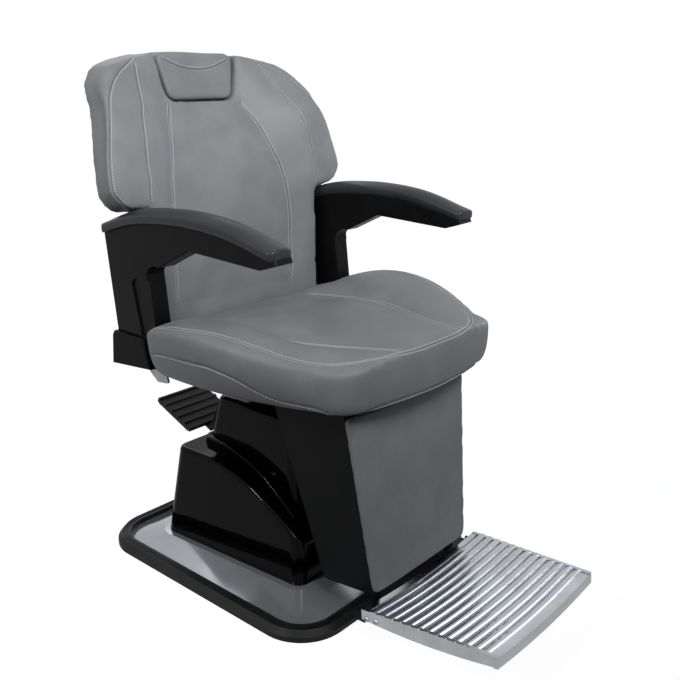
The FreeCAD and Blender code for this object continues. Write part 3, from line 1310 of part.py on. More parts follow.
def make_leg_frame():
    """Cross tube on the leg rest's axis, crank, and two hangers down to the foot bar."""
    y, z = s.leg_pivot_y, s.leg_pivot_z
    frame = drill_x(-TUBE_END, TUBE_END, y, z, s.leg_tube_radius)
    near = s.calf_pad + s.calf_board
    foot = s.foot_bar_low + s.foot_bar_height
    top = s.calf_top - 12
    for _, side in SIDES:
        low = s.hanger_x - s.hanger_width / 2
        corners = [(calf_y(top) + near, top), (calf_y(foot) + near, foot),
                   (calf_y(foot) + near + s.hanger_thick, foot), (calf_y(top) + near + s.hanger_thick, top),
                   (y + s.leg_tube_radius - 3, z), (y - s.leg_tube_radius + 3, z)]
        hanger = side_form(low, low + s.hanger_width, [(float(a), float(b)) for a, b in corners])
        frame = frame.fuse(mirrored(hanger, side))
    frame = frame.fuse(link_crank((y, z), LEG_CRANK, s.leg_tube_radius + 1))
    for _, side in SIDES:
        hole = drill_x(s.rail_inner - s.pin_reach - 2, TUBE_END, y, z, s.leg_pin_radius + s.bush_wall)
        frame = frame.cut(mirrored(hole, side))
    part_feature("leg_frame", frame.removeSplitter())


def make_foot_bar():
    """A round-cornered bar with a tongue at each end that the foot plate is screwed to."""
    half, y, round_off = s.foot_bar_half, s.foot_bar_y, s.foot_bar_height / 3
    bar_form = Part.makeBox(2 * half, s.foot_bar_depth, s.foot_bar_height,
                            Vector(-half, y - s.foot_bar_depth / 2, s.foot_bar_low))
    bar_form = bar_form.makeFillet(round_off, [e for e in bar_form.Edges if runs_along(Vector(1, 0, 0))(e)])
    for _, side in SIDES:
        bar_form = bar_form.fuse(mirrored(moved(tongue_form(), tread_frame()), side))
        for screw in plate_screws():
            bar_form = bar_form.cut(mirrored(screw, side))
    part_feature("foot_bar", bar_form.removeSplitter())


def cheek_strip(inner, outer, v_low, v_high, z_low, z_high):
    """A strip that follows the taper of the tread's side, between two depths in from its edge."""
    wire = Part.makePolygon([Vector(tread_half(v_low) - inner, -v_low, z_low),
                             Vector(tread_half(v_low) - outer, -v_low, z_low),
                             Vector(tread_half(v_high) - outer, -v_high, z_low),
                             Vector(tread_half(v_high) - inner, -v_high, z_low),
                             Vector(tread_half(v_low) - inner, -v_low, z_low)])
    return prism(wire, (0, 0, z_high - z_low))


def tongue_form():
    wall, below = s.tread_wall, s.rib_depth + s.tread_skin + s.tongue_drop
    return cheek_strip(wall + s.tongue_thick, wall, -s.foot_bar_depth / 2, s.tongue_length,
                       -below - s.tongue_height, -below)


def plate_screws():
    """The screws of one end: a round head on the cheek and a shank into the tongue."""
    taper = math.atan((s.tread_rear_half - s.tread_front_half) / s.tread_length)
    out = Vector(math.cos(taper), -math.sin(taper), 0)
    level = -s.rib_depth - s.tread_skin - s.tongue_drop - s.tongue_height / 2
    screws = []
    for v in (s.screw_first, s.screw_first + s.screw_pitch):
        seat = Vector(tread_half(v), -v, level)
        inner = s.tread_wall + s.tongue_thick
        shank = Part.makeCylinder(s.screw_radius / 2, inner, seat - out * inner, out)
        head = Part.makeCone(s.screw_radius, s.screw_radius * 0.6, s.screw_head, seat, out)
        screws.append(moved(shank.fuse(head), tread_frame()))
    return screws


def tread_half(v):
    return s.tread_rear_half + (s.tread_front_half - s.tread_rear_half) * v / s.tread_length


def tread_frame():
    """The foot plate's own frame: X across, -Y forward from its rear edge, Z square to the tread."""
    return Placement(Vector(0, s.tread_rear_y, s.tread_rear_z),
                     Rotation(Vector(1, 0, 0), -float(s.tread_tilt)))


def tread_profile():
    """Side section of the tread: half-round ribs, a flat front strip and a thin skin below."""
    edges = []
    y = 0.0
    depth = s.rib_depth
    edges.append(straight((0, y, 0), (0, -s.rib_start, 0)))
    y = -float(s.rib_start)
    for _ in range(int(s.rib_count)):
        after = y - s.rib_pitch
        valley = y - s.rib_pitch * 0.22
        edges.append(three_point((0, y, 0), (0, (y + valley) / 2, -depth), (0, valley, 0)))
        edges.append(three_point((0, valley, 0), (0, (valley + after) / 2, depth * 0.45), (0, after, 0)))
        y = after
    front = -float(s.tread_length)
    skin = -depth - s.tread_skin
    wall = front + s.tread_front_wall
    corners = [(0, y, 0), (0, front, 0), (0, front, -s.tread_depth), (0, wall, -s.tread_depth),
               (0, wall, skin), (0, 0, skin), (0, 0, 0)]
    edges += [straight(first, last) for first, last in zip(corners, corners[1:])]
    return Part.Face(Part.Wire(edges))


def make_tread():
    widest, sag, length = s.tread_rear_half + 5, s.tread_sag, s.tread_length
    radius = (widest * widest + sag * sag) / (2 * sag)
    sweep = math.degrees(math.asin(widest / radius))
    centre = Vector(0, 0, radius - sag)
    face = tread_profile()
    face.translate(Vector(0, 0, -sag))
    face.rotate(centre, Vector(0, 1, 0), sweep)
    trough = face.revolve(centre, Vector(0, 1, 0), -2 * sweep)
    rear, front = tread_half(0), tread_half(length)
    plan = [(-rear, 0), (-front, -length), (front, -length), (rear, 0), (-rear, 0)]
    keep = prism(Part.makePolygon([Vector(x, y, -60) for x, y in plan]), (0, 0, 90))
    tread = trough.common(keep)
    wall = s.tread_wall
    depth, belly = s.tread_depth, s.tread_belly
    cheek_shape = side_form(0, widest + 10, [
        (0.0, -0.5), (-float(length), -0.5), (-float(length), -float(depth)), (0.0, -float(depth))],
        {2: (-float(length) * 0.45, -float(depth) - belly)})
    cheek = cheek_shape.common(cheek_strip(wall, 0, 0, length, -60, 30))
    for _, side in SIDES:
        tread = tread.fuse(mirrored(cheek, side))
    tread = moved(tread, tread_frame())
    bar_low, bar_high = s.foot_bar_low, s.foot_bar_low + s.foot_bar_height
    seat = Part.makeBox(2 * s.foot_bar_half + 0.6, s.foot_bar_depth, s.foot_bar_height + 0.3,
                        Vector(-s.foot_bar_half - 0.3, s.foot_bar_y - s.foot_bar_depth / 2, bar_low))
    screws = [mirrored(screw, side) for _, side in SIDES for screw in plate_screws()]
    tread = tread.cut(seat)
    for screw in screws:
        tread = tread.cut(screw)
    part_feature("foot_plate", tread.removeSplitter())
    part_feature("plate_screws", Part.makeCompound(screws))


make_base()
make_pump()
make_covers()
make_head()
make_lever()
make_seat_frame()
make_link()
make_lock()
make_release()
make_seat_cushion()
make_back()
make_arms()
make_leg_rest()


# Check every piece and write it

doc.recompute()
for item in NODES:
    if "Invalid" in item.State or "Error" in item.State:
        raise RuntimeError("%s failed: %s" % (item.Label, item.State))
    if item.Shape.isNull() or not item.Shape.isValid():
        raise RuntimeError("%s has no valid shape" % item.Label)
os.makedirs("parts", exist_ok=True)
for item in NODES:
    item.Shape.exportStep(os.path.join("parts", item.Label + ".step"))
    bounds = item.Shape.BoundBox
    print("%-16s %d solids %9.1f cm3  x %.1f..%.1f y %.1f..%.1f z %.1f..%.1f" % (
        item.Label, len(item.Shape.Solids), item.Shape.Volume / 1000, bounds.XMin, bounds.XMax,
        bounds.YMin, bounds.YMax, bounds.ZMin, bounds.ZMax))
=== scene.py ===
import math

import bmesh
import bpy
from mathutils import Matrix, Vector, kdtree
from mathutils.bvhtree import BVHTree


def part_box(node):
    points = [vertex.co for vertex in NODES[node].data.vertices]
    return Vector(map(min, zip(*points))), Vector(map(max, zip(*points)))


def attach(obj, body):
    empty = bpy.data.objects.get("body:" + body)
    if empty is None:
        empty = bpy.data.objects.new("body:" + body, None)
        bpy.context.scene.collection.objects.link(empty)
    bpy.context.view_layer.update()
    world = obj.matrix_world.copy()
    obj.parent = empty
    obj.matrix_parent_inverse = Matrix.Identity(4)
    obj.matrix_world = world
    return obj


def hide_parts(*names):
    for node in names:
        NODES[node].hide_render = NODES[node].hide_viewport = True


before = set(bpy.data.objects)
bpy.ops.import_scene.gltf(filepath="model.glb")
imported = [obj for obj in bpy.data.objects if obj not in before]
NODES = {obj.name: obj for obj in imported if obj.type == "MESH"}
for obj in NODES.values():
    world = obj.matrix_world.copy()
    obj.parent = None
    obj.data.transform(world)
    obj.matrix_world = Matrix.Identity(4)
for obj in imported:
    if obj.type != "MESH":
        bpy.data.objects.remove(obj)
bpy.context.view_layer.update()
MM = 0.001
WELD = 0.01 * MM


# Finishes


def srgb(text):
    """Linear colour of a hex value, with full alpha."""
    def linear(share):
        return share / 12.92 if share <= 0.04045 else ((share + 0.055) / 1.055) ** 2.4
    return (*(linear(int(text[i:i + 2], 16) / 255) for i in (1, 3, 5)), 1.0)


def add(mat, kind, values=None, links=None, **settings):
    """Adds one shader node with its settings, its own values and the sockets that feed it."""
    tree = mat.node_tree
    item = tree.nodes.new("ShaderNode" + kind)
    for key, value in settings.items():
        setattr(item, key, value)
    for key, value in (values or {}).items():
        item.inputs[key].default_value = value
    for key, source in (links or {}).items():
        tree.links.new(source, item.inputs[key])
    return item


def blank(name):
    """A new material with nothing in it yet."""
    mat = bpy.data.materials.new(name)
    mat.use_nodes = True
    mat.node_tree.nodes.clear()
    return mat


def ramp(mat, source, low, high, start=0.35, end=0.65):
    """A colour that runs from low to high as the source rises."""
    item = add(mat, "ValToRGB", links={"Fac": source})
    for stop, place, text in zip(item.color_ramp.elements, (start, end), (low, high)):
        stop.position = place
        stop.color = srgb(text)
    return item.outputs["Color"]


def span(mat, source, low, high, start=0.3, end=0.7):
    """A number that runs from low to high as the source rises."""
    item = add(mat, "MapRange", {"From Min": start, "From Max": end, "To Min": low, "To Max": high},
               {"Value": source})
    return item.outputs["Result"]


def finish(name, low, high, rough, drift_mm, grain_mm, relief_mm, metal=0.0, stretch=(1, 1, 1),
           cells=False, ior=1.5, extra=None):
    """A surface whose colour and gloss drift between two values over a fine relief of its own size."""
    mat = blank(name)
    where = add(mat, "TexCoord").outputs["Object"]
    if stretch != (1, 1, 1):
        where = add(mat, "Mapping", {"Scale": stretch}, {"Vector": where}).outputs["Vector"]
    drift = add(mat, "TexNoise", {"Scale": 1 / (drift_mm * MM), "Detail": 4.0}, {"Vector": where})
    drift = drift.outputs["Fac"]
    values = {"Metallic": metal, **(extra or {})}
    if not metal:
        values["IOR"] = ior
    kind, output = ("TexVoronoi", "Distance") if cells else ("TexNoise", "Fac")
    grain = add(mat, kind, {"Scale": 1 / (grain_mm * MM)}, {"Vector": where}).outputs[output]
    relief = add(mat, "Bump", {"Strength": 1.0, "Distance": relief_mm * MM}, {"Height": grain})
    links = {"Base Color": ramp(mat, drift, low, high), "Roughness": span(mat, drift, *rough),
             "Normal": relief.outputs["Normal"]}
    shader = add(mat, "BsdfPrincipled", values, links)
    add(mat, "OutputMaterial", links={"Surface": shader.outputs["BSDF"]})
    return mat


VENEER = 2.8 * MM


def plywood(name):
    """Birch plywood, rotary cut: pale veneers with darker glue lines across the edge of the sheet."""
    mat = blank(name)
    where = add(mat, "TexCoord").outputs["Object"]
    plies = add(mat, "TexWave", {"Scale": 1 / (VENEER * math.tau), "Distortion": 0.6}, {"Vector": where},
                bands_direction="Z").outputs["Fac"]
    figure = add(mat, "Mapping", {"Scale": (6, 60, 60)}, {"Vector": where}).outputs["Vector"]
    grain = add(mat, "TexNoise", {"Scale": 1.0, "Detail": 5.0}, {"Vector": figure}).outputs["Fac"]
    veneers = {"A": ramp(mat, plies, "#a98158", "#d9bd8e"), "B": ramp(mat, grain, "#c39f6d", "#dcc498")}
    colour = add(mat, "Mix", {"Factor": 0.5}, veneers, data_type="RGBA").outputs["Result"]
    surface = {"Base Color": colour, "Roughness": span(mat, grain, 0.55, 0.7)}
    shader = add(mat, "BsdfPrincipled", {"IOR": 1.5}, surface)
    add(mat, "OutputMaterial", links={"Surface": shader.outputs["BSDF"]})
    return mat


# PVC-coated fabric, embossed: a mid-grey skin, a little cloudy, with a pebble grain. The real grain is
# about 1 mm and is drawn at 1.6 mm so that it shows.
LEATHERETTE = finish("leatherette_embossed", "#7a7b7e", "#848588", (0.46, 0.56), drift_mm=70,
                     grain_mm=1.6, relief_mm=0.10, cells=True, ior=1.38)
# The same coated fabric, painted darker as the shade that falls where it folds into a seam and no light
# gets in.
SEAM_SHADE_PAINT = finish("leatherette_painted_seam_shade", "#3b3c3f", "#434447", (0.6, 0.7), drift_mm=20,
                   grain_mm=1.2, relief_mm=0.05)
# Bonded polyester thread, twisted: nearly white with a soft sheen.
THREAD = finish("polyester_thread_twisted", "#e4e5e7", "#f2f3f4", (0.5, 0.65), drift_mm=6,
                grain_mm=0.6, relief_mm=0.08)
# ABS, high-gloss moulding: deep black, mirror smooth with the faint waviness of a large moulding.
BLACK_GLOSS = finish("abs_black_high_gloss", "#020203", "#040405", (0.05, 0.09), drift_mm=140,
                     grain_mm=60, relief_mm=0.25, ior=1.2)
# Integral-skin polyurethane, moulded: satin black with a fine leather-like skin.
ARM_BLACK = finish("polyurethane_black_skin", "#0a0a0b", "#0e0f10", (0.30, 0.40), drift_mm=50,
                   grain_mm=0.9, relief_mm=0.04, ior=1.22)
# The same polyurethane in dark slate for the pads, slightly glossier from wear.
SLATE_PAD = finish("polyurethane_slate_skin", "#2a2b30", "#313237", (0.30, 0.40), drift_mm=70,
                   grain_mm=1.0, relief_mm=0.05, ior=1.4)
# Powder-coated steel: matte black with an orange-peel relief of about 1.5 mm.
BLACK_PAINT = finish("steel_black_powder_coat", "#08090a", "#0c0d0e", (0.48, 0.6), drift_mm=80,
                     grain_mm=1.5, relief_mm=0.05, ior=1.3)
# Glass-filled nylon, moulded: dull black with a dry fine texture.
BLACK_PLASTIC = finish("nylon_black_moulded", "#0c0d0e", "#111214", (0.5, 0.62), drift_mm=60,
                       grain_mm=0.8, relief_mm=0.06, ior=1.2)
# SBR rubber, pressed: soft charcoal black that scuffs a little paler.
RUBBER = finish("rubber_black_pressed", "#0e0f10", "#151617", (0.45, 0.6), drift_mm=35,
                grain_mm=0.7, relief_mm=0.05, ior=1.35)
# Stainless steel, buffed: a bright mirror with a slight cloud from the buffing wheel.
POLISHED_STEEL = finish("stainless_steel_buffed", "#b9babf", "#c6c7cb", (0.10, 0.17), metal=1.0,
                        drift_mm=120, grain_mm=90, relief_mm=0.15)
# Steel sheet, pressed and sprayed with silver lacquer: an even grey of its own, with a clear bright patch
# of the studio in its clear coat.
DISH_STEEL = finish("steel_silver_lacquered", "#b4b6be", "#bdbfc6", (0.10, 0.16), metal=0.6, drift_mm=150,
                    grain_mm=110, relief_mm=0.2, extra={"Coat Weight": 1.0, "Coat Roughness": 0.05})
# Steel bar, ground and hard-chromed: a bright smooth rod.
STEEL = finish("steel_ground_chromed", "#b4b5b8", "#c0c1c4", (0.16, 0.24), metal=1.0, drift_mm=40,
               grain_mm=0.8, relief_mm=0.01, stretch=(1, 1, 12))
# Steel, zinc plated: pale grey with a slightly cloudy passivated surface.
ZINC = finish("steel_zinc_plated", "#9fa1a5", "#b2b4b8", (0.3, 0.42), metal=1.0, drift_mm=12,
              grain_mm=1.5, relief_mm=0.02)
# Cast aluminium, polished on its top: bright with faint streaks along the ribs.
CAST_ALUMINIUM = finish("aluminium_cast_polished", "#c6c8cd", "#d3d5da", (0.16, 0.24), metal=1.0,
                        drift_mm=30, grain_mm=14, relief_mm=0.06, stretch=(0.35, 1, 1))
# Bearing bronze, turned: warm brown-yellow metal.
BRONZE = finish("bronze_turned", "#a0713c", "#b58348", (0.28, 0.4), metal=1.0, drift_mm=15,
                grain_mm=0.8, relief_mm=0.02)
# Cast iron, painted black after casting: a sandy skin of about 2 mm under the paint.
IRON = finish("iron_cast_painted", "#111214", "#1a1b1d", (0.5, 0.65), drift_mm=40,
              grain_mm=2.2, relief_mm=0.15)
PLYWOOD = plywood("plywood_birch")

SLOT_FINISH = {"leatherette": LEATHERETTE, "black_paint": BLACK_PAINT, "black_gloss": BLACK_GLOSS,
               "black_plastic": BLACK_PLASTIC, "slate_pad": SLATE_PAD, "steel": STEEL, "zinc": ZINC,
               "polished_steel": POLISHED_STEEL, "cast_aluminium": CAST_ALUMINIUM, "bronze": BRONZE,
               "iron": IRON, "rubber": RUBBER, "plywood": PLYWOOD}
NODE_FINISH = {"arm_left": ARM_BLACK, "arm_right": ARM_BLACK, "base_dish": DISH_STEEL}

for label, part in NODES.items():
    for holder in part.material_slots:
        holder.material = NODE_FINISH.get(label) or SLOT_FINISH[holder.material.name]


# Making pieces


def piece_from(bm, name, mat, body, replaced=(), sharp=None):
    """Turns a bmesh into a named piece that rides on a body."""
    mesh = bpy.data.meshes.new(name)
    bm.to_mesh(mesh)
    bm.free()
    for face in mesh.polygons:
        face.use_smooth = True
    if sharp:
        mesh.set_sharp_from_angle(angle=math.radians(sharp))
    mesh.materials.append(mat)
    piece = bpy.data.objects.new(name, mesh)
    bpy.context.scene.collection.objects.link(piece)
    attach(piece, body)
    if replaced:
        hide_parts(*replaced)
    return piece


def welded(node):
    """A bmesh copy of a CAD node with its faces joined along their edges."""
    bm = bmesh.new()
    bm.from_mesh(NODES[node].data)
    bmesh.ops.remove_doubles(bm, verts=bm.verts, dist=WELD)
    return bm


def apply_modifiers(piece):
    """Keeps the shape that the modifiers give, and drops the modifiers."""
    mesh = bpy.data.meshes.new_from_object(piece.evaluated_get(bpy.context.evaluated_depsgraph_get()))
    piece.modifiers.clear()
    piece.data = mesh


def soft_copy(name, node, body, voxel, ease, mat=LEATHERETTE):
    """An even mesh of a soft CAD solid with its sharp edges eased."""
    piece = piece_from(welded(node), name, mat, body, (node,))
    even = piece.modifiers.new("even", "REMESH")
    even.mode = "VOXEL"
    even.voxel_size = voxel
    even.use_smooth_shade = True
    eased = piece.modifiers.new("eased", "SMOOTH")
    eased.factor = 0.5
    eased.iterations = ease
    apply_modifiers(piece)
    return piece


# Seams: the step of their points, and how their valleys, rows of thread and cords of painted shade lie on
# the cover.
STEP = 1.2 * MM
SPOTS_PER_SPAN = 24
LINE_REACH, TRACK_REACH = 16, 5
SEAM_DEPTH, SEAM_REACH = 2.4 * MM, 9 * MM
SEAM_HOLD = 14 * MM
STITCH_STEPS, STITCH_PITCH, THREAD_WIDTH = 3, 5, 0.8 * MM
# The cord of painted shade at the bottom of each seam: how thick it is and how far it sinks.
SHADE_CORD_RADIUS, SHADE_CORD_SINK = 0.6 * MM, 0.2 * MM


def curve_through(points):
    """Points at an even step along a smooth line through the given ones."""
    knots = [Vector(p) for p in points]
    last = len(knots) - 1
    line = []
    for i in range(last):
        a, b, c, d = (knots[min(max(i + k, 0), last)] for k in (-1, 0, 1, 2))
        for k in range(SPOTS_PER_SPAN):
            t = k / SPOTS_PER_SPAN
            line.append(0.5 * (2 * b + (c - a) * t + (2 * a - 5 * b + 4 * c - d) * t * t
                               + (3 * b - a - 3 * c + d) * t ** 3))
    line.append(knots[-1])
    return even_steps(averaged(even_steps(line), LINE_REACH))


def even_steps(line):
    """The line walked from its start, with a point at every step."""
    out = [line[0]]
    left = STEP
    for a, b in zip(line, line[1:]):
        run = (b - a).length
        while run > left:
            a = a + (b - a) * (left / run)
            run = (b - a).length
            out.append(a)
            left = STEP
        left -= run
    return out


def surface_of(piece):
    """The piece's surface, ready to be searched for the spot nearest to a point."""
    mesh = piece.data
    return BVHTree.FromPolygons([v.co for v in mesh.vertices], [p.vertices for p in mesh.polygons])


def averaged(points, reach):
    """Each point moved to the mean of its neighbours, fewer of them towards the ends."""
    out = []
    for i in range(len(points)):
        near = min(reach, i, len(points) - 1 - i)
        group = points[i - near:i + near + 1]
        out.append(sum(group, Vector()) / len(group))
    return out


def laid_on(surface, line):
    """An even row of spots on the surface along the line, with the surface's smoothed normal at each."""
    spots = [surface.find_nearest(p)[0] for p in line]
    line = even_steps(averaged(averaged(spots, TRACK_REACH), TRACK_REACH))
    spots = [surface.find_nearest(p)[:2] for p in line]
    normals = averaged([n for _, n in spots], TRACK_REACH)
    return [(p, n.normalized()) for (p, _), n in zip(spots, normals)]


def beside(surface, track, offset):
    """A row that runs beside a seam on the surface."""
    moved = []
    for i, (p, n) in enumerate(track):
        ahead = track[min(i + 2, len(track) - 1)][0] - track[max(i - 2, 0)][0]
        moved.append(p + n.cross(ahead).normalized() * offset)
    return laid_on(surface, moved)


def again(surface, tracks):
    """The same tracks laid on a surface that has changed since."""
    return [laid_on(surface, [p for p, _ in track]) for track in tracks]


def mirrored(points):
    return [(-x, y, z) for x, y, z in points]


def both_sides(points):
    return [list(points), mirrored(points)]


def round_to_left(points):
    """A seam given for one side, carried across the middle to the other."""
    return list(points) + mirrored(points)[-2::-1]


def near_tree(tracks):
    """The spots of all tracks, ready to be searched for the nearest one."""
    spots = [p for track in tracks for p, _ in track]
    tree = kdtree.KDTree(len(spots))
    for i, spot in enumerate(spots):
        tree.insert(spot, i)
    tree.balance()
    return tree


def press_seams(piece, tracks, depth=SEAM_DEPTH, reach=SEAM_REACH):
    """Draws the cover in along its seams: a narrow valley whose sides swell back to the panel."""
    tree = near_tree(tracks)
    normals = [n for track in tracks for _, n in track]
    bm = bmesh.new()
    bm.from_mesh(piece.data)
    near = {v for v in bm.verts if tree.find(v.co)[2] < reach * 1.1}
    edges = [e for e in bm.edges if e.verts[0] in near and e.verts[1] in near]
    bmesh.ops.subdivide_edges(bm, edges=edges, cuts=1, use_grid_fill=True)
    for v in bm.verts:
        _, index, gap = tree.find(v.co)
        if gap < reach:
            share = 1 - gap / reach
            v.co -= normals[index] * depth * share * share * share
    bm.to_mesh(piece.data)
    bm.free()
    for face in piece.data.polygons:
        face.use_smooth = True


def sew(name, rows, body):
    """Rows of stitches, each a short rounded length of thread that lies on the cover."""
    bm = bmesh.new()
    for row in rows:
        for i in range(0, len(row) - STITCH_STEPS, STITCH_PITCH):
            a, b = row[i][0], row[i + STITCH_STEPS][0]
            along = (b - a).normalized()
            across = row[i + 1][1].cross(along).normalized()
            up = along.cross(across)
            turn = Matrix((along, across, up)).transposed().to_4x4()
            place = Matrix.Translation((a + b) / 2 + up * 0.4 * THREAD_WIDTH) @ turn
            half = (b - a).length / 2 + 0.1 * MM
            shape = Matrix.Diagonal((half, THREAD_WIDTH, 0.8 * THREAD_WIDTH, 1))
            bmesh.ops.create_icosphere(bm, subdivisions=1, radius=1.0, matrix=place @ shape)
    return piece_from(bm, name, THREAD, body)


def seam_shade_cord(name, tracks, body):
    """A thin cord painted dark as shade, laid at the bottom of each seam."""
    curve = bpy.data.curves.new(name, "CURVE")
    curve.dimensions = "3D"
    curve.bevel_depth = SHADE_CORD_RADIUS
    curve.bevel_resolution = 1
    for track in tracks:
        spline = curve.splines.new("POLY")
        picked = track[::2]
        spline.points.add(len(picked) - 1)
        for point, (p, n) in zip(spline.points, picked):
            point.co = (*(p - n * SHADE_CORD_SINK), 1)
    holder = bpy.data.objects.new(name + "_line", curve)
    bpy.context.scene.collection.objects.link(holder)
    mesh = bpy.data.meshes.new_from_object(holder.evaluated_get(bpy.context.evaluated_depsgraph_get()))
    bpy.data.objects.remove(holder)
    bm = bmesh.new()
    bm.from_mesh(mesh)
    return piece_from(bm, name, SEAM_SHADE_PAINT, body)


SWELL_FRAMES = 20
SWELL_PRESSURE = 4.0


def swell(piece, held, cap):
    """Fills the cover by simulation: it swells between the held points, by no more than the cap."""
    before = [v.co.copy() for v in piece.data.vertices]
    group = piece.vertex_groups.new(name="held")
    for i, v in enumerate(before):
        group.add([i], held(v), "REPLACE")
    cloth = piece.modifiers.new("cloth", "CLOTH")
    cloth.settings.vertex_group_mass = "held"
    cloth.settings.use_pressure = True
    cloth.settings.uniform_pressure_force = SWELL_PRESSURE
    cloth.settings.effector_weights.gravity = 0
    cloth.settings.quality = 3
    cloth.point_cache.frame_start = 1
    cloth.point_cache.frame_end = SWELL_FRAMES
    for step in range(1, SWELL_FRAMES + 1):
        bpy.context.scene.frame_set(step)
    apply_modifiers(piece)
    bpy.context.scene.frame_set(1)
    piece.vertex_groups.clear()
    for v, start in zip(piece.data.vertices, before):
        move = v.co - start
        if move.length > cap:
            v.co = start + move.normalized() * cap


def subdivide_once(piece):
    finer = piece.modifiers.new("finer", "SUBSURF")
    finer.levels = finer.render_levels = 1
    apply_modifiers(piece)


# Seat cushion: the lines of its seams, in metres, on one side

SEAT_EDGE_SEAM = [
    (0.328, 0.055, 0.592), (0.334, -0.010, 0.597), (0.333, -0.070, 0.602), (0.318, -0.130, 0.600),
    (0.300, -0.190, 0.587), (0.280, -0.250, 0.574), (0.251, -0.310, 0.567), (0.205, -0.358, 0.572),
    (0.138, -0.400, 0.591), (0.070, -0.420, 0.598), (0.000, -0.425, 0.600),
]
SEAT_SIDE_SEAM = [
    (0.352, 0.055, 0.541), (0.350, 0.010, 0.556), (0.342, -0.060, 0.563), (0.340, -0.130, 0.563),
    (0.322, -0.186, 0.550), (0.302, -0.223, 0.530), (0.286, -0.258, 0.512), (0.262, -0.320, 0.503),
    (0.218, -0.370, 0.499), (0.120, -0.412, 0.498), (0.000, -0.425, 0.498),
]
SEAT_DISH_SEAM = [
    (0.150, 0.075, 0.585), (0.164, 0.010, 0.585), (0.173, -0.050, 0.585), (0.180, -0.110, 0.585),
    (0.178, -0.150, 0.585), (0.167, -0.200, 0.585), (0.145, -0.260, 0.585), (0.121, -0.320, 0.585),
    (0.106, -0.372, 0.590), (0.098, -0.408, 0.596),
]


SEAT_SWELL, SEAT_HELD_RIM, SEAT_HELD_REAR = 7 * MM, 30 * MM, 60 * MM
SEAT_ROW, DISH_ROW = 4 * MM, 5 * MM


def seat_tracks(surface):
    """The front edge, the side and both edges of the dish, laid on the seat's surface."""
    loops = [round_to_left(SEAT_EDGE_SEAM), round_to_left(SEAT_SIDE_SEAM)]
    return [laid_on(surface, curve_through(p)) for p in loops + both_sides(SEAT_DISH_SEAM)]


def make_seat():
    seat = soft_copy("seat_upholstery", "seat_cushion", "seat", 6 * MM, 9)
    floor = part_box("seat_cushion")[0].z
    near = near_tree(seat_tracks(surface_of(seat)))

    def held(co):
        if co.z < floor + SEAT_HELD_RIM or co.y > SEAT_HELD_REAR:
            return 1.0
        return max(0.0, 1 - near.find(co)[2] / SEAM_HOLD)

    swell(seat, held, SEAT_SWELL)
    subdivide_once(seat)
    tracks = seat_tracks(surface_of(seat))
    press_seams(seat, tracks)
    surface = surface_of(seat)
    tracks = again(surface, tracks)
    edge, side, *dish = tracks
    rows = [beside(surface, edge, SEAT_ROW), beside(surface, edge, -SEAT_ROW),
            beside(surface, side, SEAT_ROW)]
    for track in dish:
        rows += [beside(surface, track, DISH_ROW), beside(surface, track, -DISH_ROW)]
    sew("seat_stitching", rows, "seat")
    # A dark cord of painted shade along the bottom of each seam.
    seam_shade_cord("seat_seam_painted_shade", tracks, "seat")


# Backrest: the lines of its seams, in metres, on one side

BACK_CENTRE_SEAM = [
    (0.107, 0.244, 1.020), (0.117, 0.232, 1.000), (0.131, 0.214, 0.980), (0.143, 0.201, 0.940),
    (0.157, 0.185, 0.900), (0.169, 0.172, 0.860), (0.174, 0.165, 0.820), (0.178, 0.161, 0.760),
    (0.180, 0.160, 0.680), (0.180, 0.160, 0.600),
]
BACK_WING_SEAM = [
    (0.182, 0.256, 1.110), (0.209, 0.205, 1.040), (0.218, 0.193, 1.020), (0.233, 0.172, 1.000),
    (0.240, 0.160, 0.960), (0.245, 0.155, 0.940), (0.248, 0.144, 0.900), (0.252, 0.133, 0.860),
    (0.251, 0.125, 0.825),
]
BACK_EDGE_SEAM = [
    (0.169, 0.277, 1.120), (0.225, 0.235, 1.105), (0.270, 0.200, 1.080), (0.297, 0.190, 1.040),
    (0.312, 0.173, 1.000), (0.327, 0.158, 0.940), (0.340, 0.144, 0.900), (0.344, 0.133, 0.860),
    (0.331, 0.132, 0.840), (0.293, 0.140, 0.822),
]


BACK_SWELL, BACK_FREE_FROM, HEAD_MARGIN = 5 * MM, 600 * MM, 12 * MM
CENTRE_ROW, WING_ROW = 5 * MM, 4 * MM


def make_back():
    back = soft_copy("back_upholstery", "back_cushion", "backrest", 6 * MM, 16)
    lines = [curve_through(p) for seam in (BACK_CENTRE_SEAM, BACK_WING_SEAM, BACK_EDGE_SEAM)
             for p in both_sides(seam)]
    surface = surface_of(back)
    near = near_tree([laid_on(surface, line) for line in lines])
    head_low, head_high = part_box("headrest_pad")

    def held(co):
        in_recess = abs(co.x) < head_high.x + HEAD_MARGIN and co.z > head_low.z - HEAD_MARGIN
        if in_recess or co.z < BACK_FREE_FROM:
            return 1.0
        return max(0.0, 1 - near.find(co)[2] / SEAM_HOLD)

    swell(back, held, BACK_SWELL)
    subdivide_once(back)
    surface = surface_of(back)
    tracks = [laid_on(surface, line) for line in lines]
    press_seams(back, tracks)
    surface = surface_of(back)
    tracks = again(surface, tracks)
    rows = []
    for track in tracks[:2]:
        rows += [beside(surface, track, CENTRE_ROW), beside(surface, track, -CENTRE_ROW)]
    for k, track in enumerate(tracks[2:]):
        rows.append(beside(surface, track, WING_ROW if k % 2 else -WING_ROW))
    sew("back_stitching", rows, "backrest")
    # A dark cord of painted shade along the bottom of each seam.
    seam_shade_cord("back_seam_painted_shade", tracks, "backrest")


HEAD_SMILE_SEAM = [
    (-0.096, 0.250, 1.126), (-0.060, 0.250, 1.110), (-0.020, 0.250, 1.102), (0.020, 0.250, 1.102),
    (0.060, 0.250, 1.110), (0.096, 0.250, 1.126),
]
HEAD_SEAM_DEPTH, HEAD_SEAM_REACH = 1.6 * MM, 7 * MM


